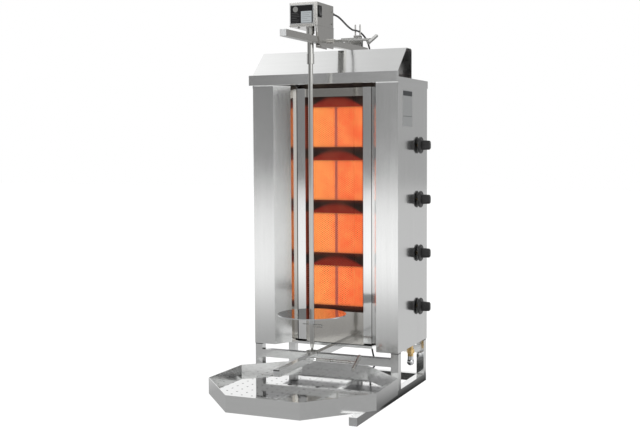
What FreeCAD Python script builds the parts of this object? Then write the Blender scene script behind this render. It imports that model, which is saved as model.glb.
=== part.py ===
import FreeCAD, Part
import math
import os

# Gas doner kebab grill: an upright steel cabinet with four rows of ceramic gas burners,
# a vertical spit before it between a lower and an upper carriage that slide on square arms,
# a motor on the upper carriage, and a drip tray that pulls out under the spit.
# Millimetres. +Z is up, -Y is the front, +X is the side with the gas knobs.
# The origin is on the floor, under the middle of the front floor tie.

# Base frame
rail_size = 25.0
rail_wall = 1.5
rail_reach = 349.5
left_rail_reach = 240.0
post_height = 114.3
post_setback = 3.0
post_spacer = 3.0
rear_post_inset = 5.0
plug_cap = 2.0

# Cabinet
cabinet_width = 500.0
cabinet_depth = 293.0
cabinet_height = 862.2
sheet = 1.5
lid_flange = 24.5
lid_gap = 0.3
flue_margin = 80.0
flue_depth = 78.0

# Wings beside the burners
wing_depth = 58.0
wing_splay = 35.0
reflector_depth = 26.0
reflector_splay = 10.0
wing_drop = 16.5

# Guard before the burners
guard_width = 204.0
guard_bar = 28.0
guard_side_gap = 2.0
guard_rise = 107.7
guard_height = 702.0
guard_gap = 2.5
guard_bar_rise = 7.7
guard_bar_height = 830.0
mesh_thickness = 1.0
mesh_columns = 8
mesh_rows = 33
mesh_strand = 3.0
top_strip = 27.0

# Burners
tile_width = 92.0
tile_height = 131.0
tile_thickness = 13.0
tile_joint = 0.5
burner_pitch = 173.8
burner_rise = 189.9
burner_count = 4
burner_gap = 20.0
plenum_depth = 46.0
plenum_wall = 1.5
plenum_lip = 3.5
window_gap = 0.8
horn_radius = 14.0
horn_wall = 1.5
horn_mouth_gap = 32.0
neck_x = 20.0

# Hood over the flue, and the fascia before it
fascia_proud = 23.0
fascia_height = 32.0
fascia_side = 3.0
fascia_corner = 8.0
hood_start = 3.0
hood_run = 84.5
hood_rise = 78.5
hood_flat = 50.2
hood_radius = 9.0

# Gas fittings and knobs
knob_depth = 204.0
knob_rise = 122.0
knob_pitch = 176.2
knob_skirt_radius = 27.5
knob_skirt = 6.5
knob_grip_radius = 16.5
knob_grip_width = 15.0
knob_grip = 29.0
knob_stand = 4.5
stem_radius = 4.0
stem_hole = 7.0
stem_play = 0.5
valve_inset = 22.0
valve_size = 22.0
pipe_radius = 6.0
injector_radius = 5.0
injector_gap = 4.0
inlet_drop = 8.3
inlet_height = 35.0
inlet_radius = 9.5
inlet_hex = 23.0
elbow_radius = 12.0
elbow_height = 31.0
thread_radius = 10.48
thread_length = 15.0
elbow_reach = 38.0
elbow_turn = 20.0
probe_radius = 1.6
probe_reach = 8.0
probe_length = 30.0
probe_gap = 2.0

# Labels
side_label_depth = 94.0
side_label_height = 114.0
side_label_start = 43.0
side_label_drop = 152.5
label_thickness = 0.8
panel_screw_radius = 4.0
panel_screw_head = 2.2
panel_screw_inset = 15.0

# Arms and pole
arm_size = 20.0
arm_wall = 1.5
lower_arm_reach = 354.0
upper_arm_reach = 345.0
upper_arm_tail = 10.0
upper_arm_x = 25.0
upper_arm_rise = 6.5
pole_size = 22.0
pole_x = -2.5
pole_gap = 2.0
pole_rise = 40.0
clamp_lift = 3.0
clamp_height = 30.0
clamp_wall = 3.0
clamp_ear = 28.0
clamp_ear_drop = 2.0
clamp_screw_drop = 8.0
fork_radius = 2.5
fork_height = 39.0
fork_gap = 8.6
strap_sheet = 2.0
strap_height = 30.0
strap_ear = 20.0
strap_rises = (157.7, 707.7)

# Carriages and clamp screws
spit_setback = 98.0
slide_gap = 0.3
run_gap = 0.05
carriage_sheet = 2.7
saddle_skirt = 1.3
lower_carriage_front = 145.0
lower_carriage_back = 75.0
lower_plate = 2.4
cup_radius = 19.0
cup_height = 7.0
cup_dish = 15.0
cup_dish_depth = 2.0
cup_floor = 2.0
screw_rod = 4.0
screw_boss_radius = 5.5
screw_boss = 13.0
bar_radius = 5.5
lower_screw_setback = 122.0
lower_screw_drop = 11.3
lower_screw_reach = 148.0
lower_bar = 68.0
lower_bar_turn = 27.3
upper_screw_setback = 25.0
upper_screw_drop = 3.0
upper_screw_reach = 138.0
upper_bar = 77.0
upper_bar_turn = 21.7
pole_screw_reach = 48.0
pole_bar = 72.0

# Spit
spit_radius = 7.5
spit_in_sleeve = 16.0
spit_head_radius = 9.3
spit_head = 15.5
spit_taper_rise = 12.2
spit_taper_length = 20.2
spit_tip = 3.0
disc_radius = 107.0
disc_rise = 123.7
disc_thickness = 3.0
disc_hub_radius = 8.8
pin_radius = 1.5
pin_drop = 31.0
pin_left = 31.0
pin_right = 31.0
pin_bend = 3.6
pin_return = 12.0

# Motor and drive
motor_front = 133.0
motor_back = 4.0
motor_left = 54.0
motor_right = 38.0
motor_height = 70.0
motor_rise = 33.0
motor_sheet = 1.5
case_lip = 1.2
motor_corner = 2.0
bracket_sheet = 3.0
bracket_drop = 10.0
bracket_slope_drop = 21.0
bracket_slope = 26.0
bracket_lean = 3.0
bracket_nose = 5.0
bracket_toe = 8.0
bracket_corner = 4.0
cross_pin_radius = 3.0
cross_pin_inset = 5.0
drive_radius = 10.0
drive_end_gap = 0.3
drive_side_gap = 4.0
socket_radius = 13.0
socket_height = 23.0
shaft_radius = 6.0
sleeve_radius = 11.5
sleeve_drop = 83.5
sleeve_height = 30.8
gearbox_half = 25.0
gearbox_height = 32.0
motor_can_radius = 19.0
motor_can = 48.0
motor_can_offset = 5.0
switch_width = 25.0
switch_height = 35.0
switch_rim = 2.5
switch_proud = 2.0
switch_gap = 0.6
switch_tilt = 7.0
switch_depth = 7.0
switch_inset = 7.0
switch_drop = 10.0
rocker_lift = 1.0
rocker_dish = 1.5
plate_width = 79.0
plate_height = 59.0
plate_rim = 2.2
plate_inset = 1.8
plate_rise = 4.7
gland_x = 28.0
gland_rise = 48.0
gland_radius = 7.5
gland_length = 26.0
case_screw_radius = 3.2
case_screw_head = 1.8
case_screw_inset = 15.0
case_screw_drop = 18.5
case_screw_rise = 14.0
under_screw = (33.7, 24.0)
under_screw_radius = 4.0
under_screw_head = 2.5

# Drip tray
tray_front = 440.0
tray_front_half = 118.0
tray_shoulder = 255.0
tray_shoulder_half = 278.0
tray_hip = 49.0
tray_hip_half = 272.0
tray_back = 95.0
tray_back_half = 118.0
tray_offset = -5.0
tray_height = 50.7
tray_gap = 0.3
tray_ledge = 6.0
insert_height = 25.2
insert_gap = 0.5
insert_seam = 0.8
insert_hole_radius = 3.0
insert_hole_pitch = 34.0
insert_hole_start = 20.0
finger_hole_radius = 8.0
finger_hole = (47.0, 152.0)
insert_hole_lead = 10.0

# Cord
cord_radius = 3.0
cord_lead = 15.0
coil_radius = 36.0
coil_turns = 1.5
coil_pitch = 7.8
coil_layer = 6.8
coil_offset = (7.5, 30.0)
plug_width = 26.0
plug_length = 36.0
plug_tail = 26.0
plug_pin = 2.4
plug_pin_length = 19.0
plug_pin_spread = 19.0

# Places that follow from the sizes
cab_front = -(post_setback + rail_size / 2)
cab_back = cab_front + cabinet_depth
cab_half = cabinet_width / 2
fascia_half = cab_half + fascia_side
flue_half = cab_half - flue_margin
valve_x = cab_half - valve_inset
horn_mouth = valve_x - horn_mouth_gap
cab_low = rail_size + post_height + post_spacer
cab_top = cab_low + cabinet_height
inner_half = cab_half - sheet
rail_inner = cab_half - rail_size
front_post = cab_front + post_setback
rear_post = cab_back - rail_size - post_setback - rear_post_inset
wing_top = cab_top - wing_drop
guard_face = cab_front + wing_depth + reflector_depth
guard_half = guard_width / 2
guard_side = guard_half + guard_bar + guard_side_gap
wing_edge = guard_side + reflector_splay + wing_splay
guard_plane = guard_face + sheet + guard_gap
burner_face = guard_face + burner_gap
spit_y = cab_front - spit_setback
knob_y = cab_front + knob_depth
knob_heights = [cab_low + knob_rise + knob_pitch * i for i in range(burner_count)]
burner_heights = [cab_low + burner_rise + burner_pitch * i for i in range(burner_count)]
guard_start = cab_low + guard_rise
guard_end = guard_start + guard_height
guard_bar_start = cab_low + guard_bar_rise
lower_screw_z = cab_low - lower_screw_drop
spit_taper_end = cab_low + spit_taper_rise
spit_taper_start = spit_taper_end + spit_taper_length
disc_z = cab_low + disc_rise
pin_z = disc_z - pin_drop
hood_low = cab_top - wing_drop + fascia_height
hood_top = hood_low + hood_rise
pole_front = cab_back + pole_gap
upper_arm_end = pole_front + upper_arm_tail
upper_arm_low = hood_top + upper_arm_rise
upper_arm_high = upper_arm_low + arm_size
pole_height = upper_arm_high + pole_rise
clamp_low = upper_arm_high + clamp_lift
clamp_high = clamp_low + clamp_height
motor_base = upper_arm_high + motor_rise
bracket_bottom = upper_arm_low - bracket_drop
bracket_slope_start = motor_base - bracket_slope_drop
sleeve_top = motor_base - sleeve_drop
spit_top = sleeve_top - sleeve_height + spit_in_sleeve
gland_z = motor_base + gland_rise


def box(x0, x1, y0, y1, z0, z1):
    return Part.makeBox(x1 - x0, y1 - y0, z1 - z0, FreeCAD.Vector(x0, y0, z0))


def rod(start, along, radius, length):
    return Part.makeCylinder(radius, length, FreeCAD.Vector(*start), FreeCAD.Vector(*along))


def tube_along_y(x, z, size, wall, y0, y1):
    half = size / 2
    outer = box(x - half, x + half, y0, y1, z, z + size)
    inside = box(x - half + wall, x + half - wall, y0, y1, z + wall, z + size - wall)
    return outer.cut(inside)


def tube_along_x(y, z, size, wall, x0, x1):
    outer = box(x0, x1, y, y + size, z, z + size)
    inside = box(x0, x1, y + wall, y + size - wall, z + wall, z + size - wall)
    return outer.cut(inside)


def tube_upright(x, y, size, wall, z0, z1):
    outer = box(x, x + size, y, y + size, z0, z1)
    inside = box(x + wall, x + size - wall, y + wall, y + size - wall, z0, z1)
    return outer.cut(inside)


def slab(points, z0, z1):
    corners = [FreeCAD.Vector(x, y, z0) for x, y in points]
    face = Part.Face(Part.makePolygon(corners + corners[:1]))
    return face.extrude(FreeCAD.Vector(0, 0, z1 - z0))


def cheek(points, x0, x1):
    corners = [FreeCAD.Vector(x0, y, z) for y, z in points]
    face = Part.Face(Part.makePolygon(corners + corners[:1]))
    return face.extrude(FreeCAD.Vector(x1 - x0, 0, 0))


def offset_line(points, distance, closed):
    """Mitred copy of a line, moved to its left by distance."""
    count = len(points)
    moved = []
    for i in range(count):
        normals = []
        spans = [(i - 1, i), (i, i + 1)]
        for a, b in spans:
            if not closed and (a < 0 or b >= count):
                continue
            ax, ay = points[a % count]
            bx, by = points[b % count]
            length = math.hypot(bx - ax, by - ay)
            normals.append((-(by - ay) / length, (bx - ax) / length))
        nx = sum(n[0] for n in normals)
        ny = sum(n[1] for n in normals)
        scale = nx * normals[0][0] + ny * normals[0][1]
        px, py = points[i]
        moved.append((px + distance * nx / scale, py + distance * ny / scale))
    return moved


def mirrored(shape):
    return shape.mirror(FreeCAD.Vector(0, 0, 0), FreeCAD.Vector(1, 0, 0))


def save(name, *shapes):
    solids = []
    for shape in shapes:
        solids += shape.Solids
    for solid in solids:
        if not solid.isValid() or solid.Volume <= 0:
            print("bad solid in", name)
    whole = solids[0] if len(solids) == 1 else Part.makeCompound(solids)
    whole.exportStep("parts/" + name + ".step")


# Base frame: two floor rails, ties, four posts, crossbars and plugs
def base_frame():
    rail_x = cab_half - rail_size / 2
    rail_front = cab_front - rail_reach
    left_front = cab_front - left_rail_reach
    rail_back = rear_post + rail_size
    rail = tube_along_y(rail_x, 0, rail_size, rail_wall, rail_front, rail_back)
    left_rail = tube_along_y(-rail_x, 0, rail_size, rail_wall, left_front, rail_back)
    save("base_rails", rail, left_rail)
    post_end = rail_size + post_height
    bar_z = cab_low - arm_size - rail_size
    tubes = []
    posts = []
    plastic = []
    for y in (front_post, rear_post):
        for z in (0, bar_z):
            tubes.append(tube_along_x(y, z, rail_size, rail_wall, -rail_inner, rail_inner))
        posts.append(tube_upright(rail_inner, y, rail_size, rail_wall, rail_size, post_end))
        plastic.append(box(rail_inner, cab_half, y, y + rail_size, post_end, cab_low))
    rail_plugs = [
        end_plug(rail_x, rail_front, 0, rail_size, rail_wall, -1),
        end_plug(-rail_x, left_front, 0, rail_size, rail_wall, -1),
        end_plug(rail_x, rail_back, 0, rail_size, rail_wall, 1),
        end_plug(-rail_x, rail_back, 0, rail_size, rail_wall, 1),
    ]
    save("cross_tubes", *tubes)
    save("posts", *posts, *[mirrored(p) for p in posts])
    low = cab_low - arm_size
    arm_plugs = [
        end_plug(0, cab_front - lower_arm_reach, low, arm_size, arm_wall, -1),
        end_plug(upper_arm_x, cab_front - upper_arm_reach, upper_arm_low, arm_size, arm_wall, -1),
        end_plug(upper_arm_x, upper_arm_end, upper_arm_low, arm_size, arm_wall, 1),
    ]
    spacers = plastic + [mirrored(p) for p in plastic]
    save("plugs_and_spacers", *spacers, *rail_plugs, *arm_plugs)


def end_plug(x, y, z, size, wall, side):
    """Cap on the end of a square tube along Y, with a stub inside it."""
    half = size / 2
    stub = half - wall
    y0, y1 = sorted((y, y + side * plug_cap))
    cap = box(x - half, x + half, y0, y1, z, z + size)
    front = [e for e in cap.Edges if abs(e.CenterOfMass.y - (y + side * plug_cap)) < 0.01]
    cap = cap.makeFillet(plug_cap * 0.45, front)
    y2, y3 = sorted((y, y - side * size / 2))
    return cap.fuse(box(x - stub, x + stub, y2, y3, z + wall, z + size - wall))


# Plan line of the right wing and reflector, from the outer edge inwards
wing_line = [
    (cab_half, cab_front),
    (wing_edge, cab_front),
    (wing_edge - wing_splay, cab_front + wing_depth),
    (guard_side, guard_face),
]
wing_back = offset_line(wing_line, -sheet, False)


# Cabinet shell: wings, reflectors, sides, back, floor and lid
def cabinet():
    wing = slab(wing_line[:3] + wing_back[2::-1], cab_low, wing_top)
    save("wings", wing, mirrored(wing))
    reflector = slab(wing_line[2:] + wing_back[:1:-1], cab_low, wing_top)
    half = guard_half
    low = box(-half, half, guard_plane, guard_plane + sheet, cab_low + sheet, guard_start)
    high = box(-half, half, guard_plane, guard_plane + sheet, guard_end, guard_end + top_strip)
    save("reflector_panels", reflector, mirrored(reflector), low, high)
    side_end = cab_top - sheet
    side = box(inner_half, cab_half, cab_front + sheet, cab_back, cab_low, side_end)
    plain = mirrored(side)
    for z in knob_heights:
        side = side.cut(rod((inner_half - 1, knob_y, z), (1, 0, 0), stem_hole, sheet + 2))
    back = box(-inner_half, inner_half, cab_back - sheet, cab_back, cab_low, side_end)
    save("cabinet_panels", side, plain, back)
    edge = [(inner_half, cab_front + sheet)] + wing_back[1:]
    outline = edge + [(-x, y) for x, y in reversed(edge)]
    outline += [(-inner_half, cab_back - sheet), (inner_half, cab_back - sheet)]
    floor = slab(outline, cab_low, cab_low + sheet)
    inlet_y = pipe_y()
    floor = floor.cut(rod((valve_x, inlet_y, cab_low - 1), (0, 0, 1), pipe_radius + 1, sheet + 2))
    save("bottom_plate", floor)
    lid_half = cab_half + lid_gap + sheet
    lid_back = cab_back + lid_gap + sheet
    lid = box(-lid_half, lid_half, cab_front, lid_back, cab_top - sheet, cab_top)
    lid_low = cab_top - lid_flange
    flange = box(lid_half - sheet, lid_half, cab_front + sheet, lid_back, lid_low, cab_top)
    rear = box(-lid_half, lid_half, lid_back - sheet, lid_back, lid_low, cab_top)
    lid = lid.fuse([flange, mirrored(flange), rear])
    flue_y = cab_front + sheet * 4
    flue = box(-flue_half, flue_half, flue_y, flue_y + flue_depth, cab_top - sheet * 2, cab_top + 1)
    save("top_cover", lid.cut(flue).removeSplitter())


def pipe_y():
    """Depth of the gas pipe, which touches the front of the valve blocks."""
    return knob_y - valve_size / 2 - pipe_radius


# Fascia and heat hood over the flue
def fascia_and_hood():
    low = cab_top - wing_drop
    high = low + fascia_height
    front = cab_front - fascia_proud
    face = box(-fascia_half, fascia_half, front, front + sheet, low, high)
    top_lip = box(-fascia_half, fascia_half, front, cab_front - hood_start, high - sheet, high)
    low_lip = box(-fascia_half, fascia_half, front, cab_front + sheet, low, low + sheet)
    end = box(fascia_half - sheet, fascia_half, front, cab_front - sheet, low, high)
    back_low = [e for e in end.Edges
                if abs(e.CenterOfMass.y - (cab_front - sheet)) < 0.01
                and abs(e.CenterOfMass.z - low) < 0.01]
    end = end.makeFillet(fascia_corner, back_low)
    cut_end = box(fascia_half - sheet, fascia_half + 1, cab_front - sheet - fascia_corner,
                  cab_front + sheet + 1, low - 1, low + sheet + 1)
    low_lip = low_lip.cut([cut_end, mirrored(cut_end)])
    save("fascia", face.fuse([top_lip, low_lip, end, mirrored(end)]).removeSplitter())

    y0 = cab_front - hood_start
    y1 = y0 + hood_run
    y2 = y1 + hood_flat
    line = [(y0, high), (y1, hood_top), (y2, hood_top), (y2, cab_top)]
    inner = offset_line(line, -sheet, False)
    outer_face = hood_face(line, hood_radius)
    inner_face = hood_face(inner, hood_radius - sheet)
    outer = outer_face.extrude(FreeCAD.Vector(cabinet_width, 0, 0))
    hollow = inner_face.extrude(FreeCAD.Vector(cabinet_width, 0, 0))
    save("hood", outer.cut(hollow))


def hood_face(line, radius):
    """Closed side outline of the hood: slope, flat top, round corner, upright back."""
    def at(y, z):
        return FreeCAD.Vector(-cab_half, y, z)
    (ya, za), (yb, zb), (yc, zc), (yd, zd) = line
    diagonal = radius * (1 - math.sqrt(0.5))
    edges = [
        Part.makeLine(at(ya, za), at(yb, zb)),
        Part.makeLine(at(yb, zb), at(yc - radius, zc)),
        Part.Arc(at(yc - radius, zc), at(yc - diagonal, zc - diagonal), at(yc, zc - radius)).toShape(),
        Part.makeLine(at(yc, zc - radius), at(yd, zd)),
        Part.makeLine(at(yd, zd), at(ya, za)),
    ]
    return Part.Face(Part.Wire(edges))


# Guard bars and the guard mesh between them
def guard():
    bar = box(guard_half, guard_half + guard_bar, guard_face, guard_face + sheet,
              guard_bar_start, guard_bar_start + guard_bar_height)
    fold = box(guard_half, guard_half + sheet, guard_face, burner_face,
               guard_bar_start, guard_bar_start + guard_bar_height)
    bar = bar.fuse(fold).removeSplitter()
    save("guard_bars", bar, mirrored(bar))
    save("guard_mesh", mesh(-guard_half, guard_half, guard_start, guard_end))


def mesh(x0, x1, z0, z1):
    """Expanded metal net: staggered diamond gaps with a strand between them."""
    column = (x1 - x0) / (mesh_columns + 0.5)
    row = (z1 - z0) / (mesh_rows + 1.5)
    half_x = column / 2 - mesh_strand / 2
    half_z = row - mesh_strand / 2
    y = guard_plane

    def ring(points):
        corners = [FreeCAD.Vector(px, y, pz) for px, pz in points]
        return Part.makePolygon(corners + corners[:1])

    outline = ring([(x0, z0), (x1, z0), (x1, z1), (x0, z1)])
    holes = []
    for j in range(mesh_rows):
        z = z0 + row * (j + 1.25)
        for i in range(mesh_columns):
            x = x0 + column * (i + 0.5 + 0.5 * (j % 2))
            holes.append(ring([(x - half_x, z), (x, z - half_z), (x + half_x, z), (x, z + half_z)]))
    net = Part.makeFace([outline] + holes, "Part::FaceMakerBullseye")
    return net.extrude(FreeCAD.Vector(0, mesh_thickness, 0))


# Burner frame, four burners with two ceramic tiles each, and their gas supply
def burners():
    half = tile_width + tile_joint / 2
    frame_half = guard_half + guard_bar
    y = burner_face
    low = cab_low + sheet
    plate = box(-frame_half, frame_half, y, y + sheet, low, cab_top - sheet)
    side = box(frame_half, frame_half + sheet, guard_face + sheet * 2, y + sheet, low, wing_top)
    plate = plate.fuse([side, mirrored(side)])
    probes = []
    tiles = []
    bodies = []
    for i, z in enumerate(burner_heights):
        z0 = z - tile_height / 2
        z1 = z + tile_height / 2
        gap = window_gap
        plate = plate.cut(box(-half - gap, half + gap, y - 1, y + sheet + 1, z0 - gap, z1 + gap))
        tile_back = y + tile_thickness
        right = box(tile_joint / 2, half, y, tile_back, z0, z1)
        tiles += [right, mirrored(right)]
        bodies.append(burner_body(half + gap, z0 - gap, z1 + gap, knob_heights[i]))
        probe_z = z1 + gap + plenum_lip + probe_radius + probe_gap
        probe = rod((half, y - probe_reach, probe_z), (0, 1, 0), probe_radius, probe_length)
        plate = plate.cut(rod((half, y - 1, probe_z), (0, 1, 0), probe_radius, sheet + 2))
        probes.append(probe)
    save("burner_frame", plate.removeSplitter())
    save("flame_probes", *probes)
    save("ceramic_tiles", *tiles)
    save("burners", *bodies)


def burner_body(half, z0, z1, horn_z):
    """Plenum box behind the tiles, with a neck and a mixing tube towards the valve."""
    y0 = burner_face + sheet
    y1 = y0 + plenum_depth
    wall = plenum_wall
    outer = box(-half - wall, half + wall, y0, y1, z0 - wall, z1 + wall)
    inside = box(-half, half, y0, y1 - wall, z0, z1)
    tile_back = burner_face + tile_thickness
    ledge = box(-half, half, tile_back, tile_back + wall, z0, z1)
    lip = plenum_lip
    ledge = ledge.cut(box(-half + lip, half - lip, tile_back, tile_back + wall, z0 + lip, z1 - lip))
    centre = box(-lip, lip, tile_back, tile_back + wall, z0, z1)
    neck = rod((neck_x, y1 - wall, horn_z), (0, 1, 0), horn_radius, knob_y - y1 + wall)
    horn = rod((neck_x - horn_radius, knob_y, horn_z), (1, 0, 0), horn_radius,
               horn_mouth - neck_x + horn_radius)
    bore = horn_radius - horn_wall
    neck_bore = rod((neck_x, y1 - wall - 1, horn_z), (0, 1, 0), bore, knob_y - y1 + wall + 1)
    horn_bore = rod((neck_x - bore, knob_y, horn_z), (1, 0, 0), bore, horn_mouth - neck_x + bore)
    body = outer.cut(inside).fuse([ledge, centre]).fuse([neck, horn])
    return body.cut([neck_bore, horn_bore]).removeSplitter()


def gas_train():
    y = pipe_y()
    half = valve_size / 2
    inlet_top = cab_low - inlet_drop
    top = knob_heights[-1] + valve_size
    pipe = rod((valve_x, y, inlet_top), (0, 0, 1), pipe_radius, top - inlet_top)
    save("gas_manifold", pipe)
    valves = []
    for i, z in enumerate(knob_heights):
        valve = box(valve_x - half, valve_x + half, knob_y - half, knob_y + half, z - half, z + half)
        bore = stem_radius + run_gap
        depth = valve_size - half * 0.7
        valve = valve.cut(rod((valve_x + half - depth, knob_y, z), (1, 0, 0), bore, depth))
        valves.append(valve)
        tip = horn_mouth + injector_gap
        length = valve_x - half - tip
        valves.append(rod((tip, knob_y, z), (1, 0, 0), injector_radius, length))
        stem_start = valve_x + half - depth + knob_stand + stem_play
        stem_end = cab_half + knob_stand + knob_grip / 2
        save("valve_stem_%d" % (i + 1),
             rod((stem_start, knob_y, z), (1, 0, 0), stem_radius, stem_end - stem_start))
        save("knob_%d" % (i + 1), knob(z, stem_end))
    save("gas_valves", *valves)

    hexagon = []
    for k in range(6):
        turn = math.radians(60 * k)
        reach = inlet_hex / 2 / math.cos(math.radians(30))
        hexagon.append((valve_x + reach * math.cos(turn), y + reach * math.sin(turn)))
    inlet_low = inlet_top - inlet_height
    nut = slab(hexagon, inlet_low + inlet_height * 0.3, inlet_low + inlet_height * 0.68)
    barrel = rod((valve_x, y, inlet_low), (0, 0, 1), inlet_radius, inlet_height)
    save("gas_inlet", nut.fuse(barrel).removeSplitter())
    elbow_z = inlet_low - elbow_height + elbow_radius
    centre = FreeCAD.Vector(valve_x, y, elbow_z)
    turn = math.radians(elbow_turn)
    outlet = FreeCAD.Vector(-math.sin(turn), math.cos(turn), 0)
    ball = Part.makeSphere(elbow_radius, centre)
    leg = rod((valve_x, y, elbow_z), (0, 0, 1), inlet_radius, inlet_low - elbow_z)
    collar_length = elbow_reach - thread_length
    collar = rod(centre, outlet, elbow_radius, collar_length)
    thread = rod(centre + outlet * collar_length, outlet, thread_radius, thread_length)
    elbow = ball.fuse([leg, collar, thread]).removeSplitter()
    bore = rod(centre, outlet, pipe_radius, elbow_reach + 1)
    rise = rod((valve_x, y, elbow_z), (0, 0, 1), pipe_radius, inlet_low - elbow_z)
    save("inlet_elbow", elbow.cut(bore.fuse(rise)))


def knob(z, stem_end):
    start = cab_half + knob_stand
    skirt = rod((start, knob_y, z), (1, 0, 0), knob_skirt_radius, knob_skirt)
    rim = [e for e in skirt.Edges if e.CenterOfMass.x > start + knob_skirt - 0.01]
    skirt = skirt.makeFillet(knob_skirt * 0.3, rim)
    grip_start = start + knob_skirt
    grip_end = grip_start + knob_grip
    grip = rod((grip_start, knob_y, z), (1, 0, 0), knob_grip_radius, knob_grip)
    half = knob_grip_width / 2
    core = box(grip_start, grip_end, knob_y - half, knob_y + half,
               z - knob_grip_radius, z + knob_grip_radius)
    hub = rod((grip_start, knob_y, z), (1, 0, 0), half * 1.4, knob_grip * 0.4)
    body = skirt.fuse([grip.common(core), hub]).removeSplitter()
    bore = stem_radius + run_gap
    return body.cut(rod((start - 1, knob_y, z), (1, 0, 0), bore, stem_end + run_gap - start + 1))


# Labels and screws
def trim():
    y0 = cab_front + side_label_start
    low = cab_top - side_label_drop
    label = box(cab_half, cab_half + label_thickness, y0, y0 + side_label_depth,
                low, low + side_label_height)
    save("side_label", label)
    screws = []
    edge = inner_half - panel_screw_inset
    screw_low = cab_low + panel_screw_inset
    screw_high = cab_top - lid_flange - panel_screw_inset
    for x in (-edge, -inner_half / 3, inner_half / 3, edge):
        for z in (screw_low, screw_high):
            screws.append(rod((x, cab_back, z), (0, 1, 0), panel_screw_radius, panel_screw_head))
    save("panel_screws", *screws)


# Arms, pole and its straps
def arms():
    low = cab_low - arm_size
    front = cab_front - lower_arm_reach
    lower = tube_along_y(0, low, arm_size, arm_wall, front, pole_front)
    save("lower_arm", lower)
    upper_front = cab_front - upper_arm_reach
    upper = tube_along_y(upper_arm_x, upper_arm_low, arm_size, arm_wall, upper_front, upper_arm_end)
    save("upper_arm", upper)
    half = pole_size / 2
    pole = tube_upright(pole_x - half, pole_front, pole_size, arm_wall, low, pole_height)
    save("rear_pole", pole)
    straps = []
    for rise in strap_rises:
        z = cab_low + rise
        hold = box(pole_x - half - strap_sheet, pole_x + half + strap_sheet, cab_back,
                   pole_front + pole_size + strap_sheet, z, z + strap_height)
        hold = hold.cut(box(pole_x - half, pole_x + half, cab_back - 1, pole_front + pole_size,
                            z - 1, z + strap_height + 1))
        for side in (-1, 1):
            x0, x1 = sorted((pole_x + side * half, pole_x + side * (half + strap_ear)))
            hold = hold.fuse(box(x0, x1, cab_back, cab_back + strap_sheet, z, z + strap_height))
        straps.append(hold.removeSplitter())
    save("pole_straps", *straps)


# Clamp that holds the upper arm on the pole, its screw, and the cable fork
def pole_clamp():
    half = pole_size / 2
    left = pole_x - half
    right = pole_x + half
    wall = clamp_wall
    front = pole_front - wall
    back = pole_front + pole_size
    collar = box(left - wall, right + wall, front, back + wall, clamp_low, clamp_high)
    collar = collar.cut(box(left, right, pole_front, back, clamp_low - 1, clamp_high + 1))
    ear_top = clamp_high - clamp_ear_drop
    ear = box(left - wall - clamp_ear, left - wall, front, front + wall * 3, clamp_low, ear_top)
    arm_side = upper_arm_x - arm_size / 2
    weld = box(right + wall, arm_side, front, upper_arm_end, upper_arm_low, clamp_high)
    screw_z = clamp_high - clamp_screw_drop
    bore = rod((pole_x, front - 1, screw_z), (0, 1, 0), screw_rod + run_gap, wall + 2)
    save("pole_clamp", collar.fuse([ear, weld]).cut(bore).removeSplitter())
    save("pole_clamp_screw",
         tee((pole_x, pole_front - slide_gap, screw_z), (0, -1, 0), pole_screw_reach,
             pole_bar, (1, 0, 0)))
    prongs = []
    base = box(left, right, pole_front, back, pole_height, pole_height + wall)
    for side in (-1, 1):
        x = pole_x + side * fork_gap
        prongs.append(rod((x, pole_front + half, pole_height), (0, 0, 1), fork_radius, fork_height))
        prongs.append(Part.makeSphere(fork_radius, FreeCAD.Vector(x, pole_front + half,
                                                                pole_height + fork_height)))
    save("cable_fork", base.fuse(prongs).removeSplitter())


def tee(start, along, reach, length, across):
    """Clamp screw: a rod with a round cross bar on its outer end."""
    base = FreeCAD.Vector(*start)
    along = FreeCAD.Vector(*along)
    across = FreeCAD.Vector(*across)
    shaft = Part.makeCylinder(screw_rod, reach, base, along)
    middle = base + along * reach
    bar = Part.makeCylinder(bar_radius, length, middle - across * (length / 2), across)
    ends = [e for e in bar.Edges if e.Curve.TypeId == "Part::GeomCircle"]
    bar = bar.makeFillet(bar_radius * 0.25, ends)
    return shaft.fuse(bar).removeSplitter()


# Lower carriage with the spit's bearing cup and clamp screw
def lower_carriage():
    low = cab_low - arm_size
    half = arm_size / 2 + slide_gap
    outer = half + carriage_sheet
    y0 = cab_front - lower_carriage_front
    y1 = cab_front - lower_carriage_back
    plate_low = cab_low + slide_gap
    plate_high = plate_low + lower_plate
    skirt = low - saddle_skirt
    saddle = box(-outer, outer, y0, y1, skirt, plate_high)
    saddle = saddle.cut(box(-half, half, y0 - 1, y1 + 1, skirt - 1, plate_low))
    screw_y = cab_front - lower_screw_setback
    boss = rod((half, screw_y, lower_screw_z), (1, 0, 0), screw_boss_radius + 1,
               carriage_sheet + screw_boss)
    bore = rod((half - 1, screw_y, lower_screw_z), (1, 0, 0), screw_rod + run_gap, screw_boss + 8)
    pad = rod((0, spit_y, plate_low), (0, 0, 1), cup_radius, lower_plate)
    save("lower_carriage", saddle.fuse([boss, pad]).cut(bore).removeSplitter())
    cup = rod((0, spit_y, plate_high), (0, 0, 1), cup_radius, cup_height)
    cup = cup.cut(rod((0, spit_y, plate_high + cup_height - cup_dish_depth), (0, 0, 1),
                      cup_dish, cup_dish_depth + 1))
    tip_seat = plate_high + cup_floor
    cup = cup.cut(rod((0, spit_y, tip_seat), (0, 0, 1), spit_tip + run_gap, cup_height))
    save("bearing_cup", cup)
    turn = math.radians(lower_bar_turn)
    save("lower_clamp_screw",
         tee((half, screw_y, lower_screw_z), (1, 0, 0), lower_screw_reach,
             lower_bar, (0, math.cos(turn), math.sin(turn))))
    return tip_seat


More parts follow.
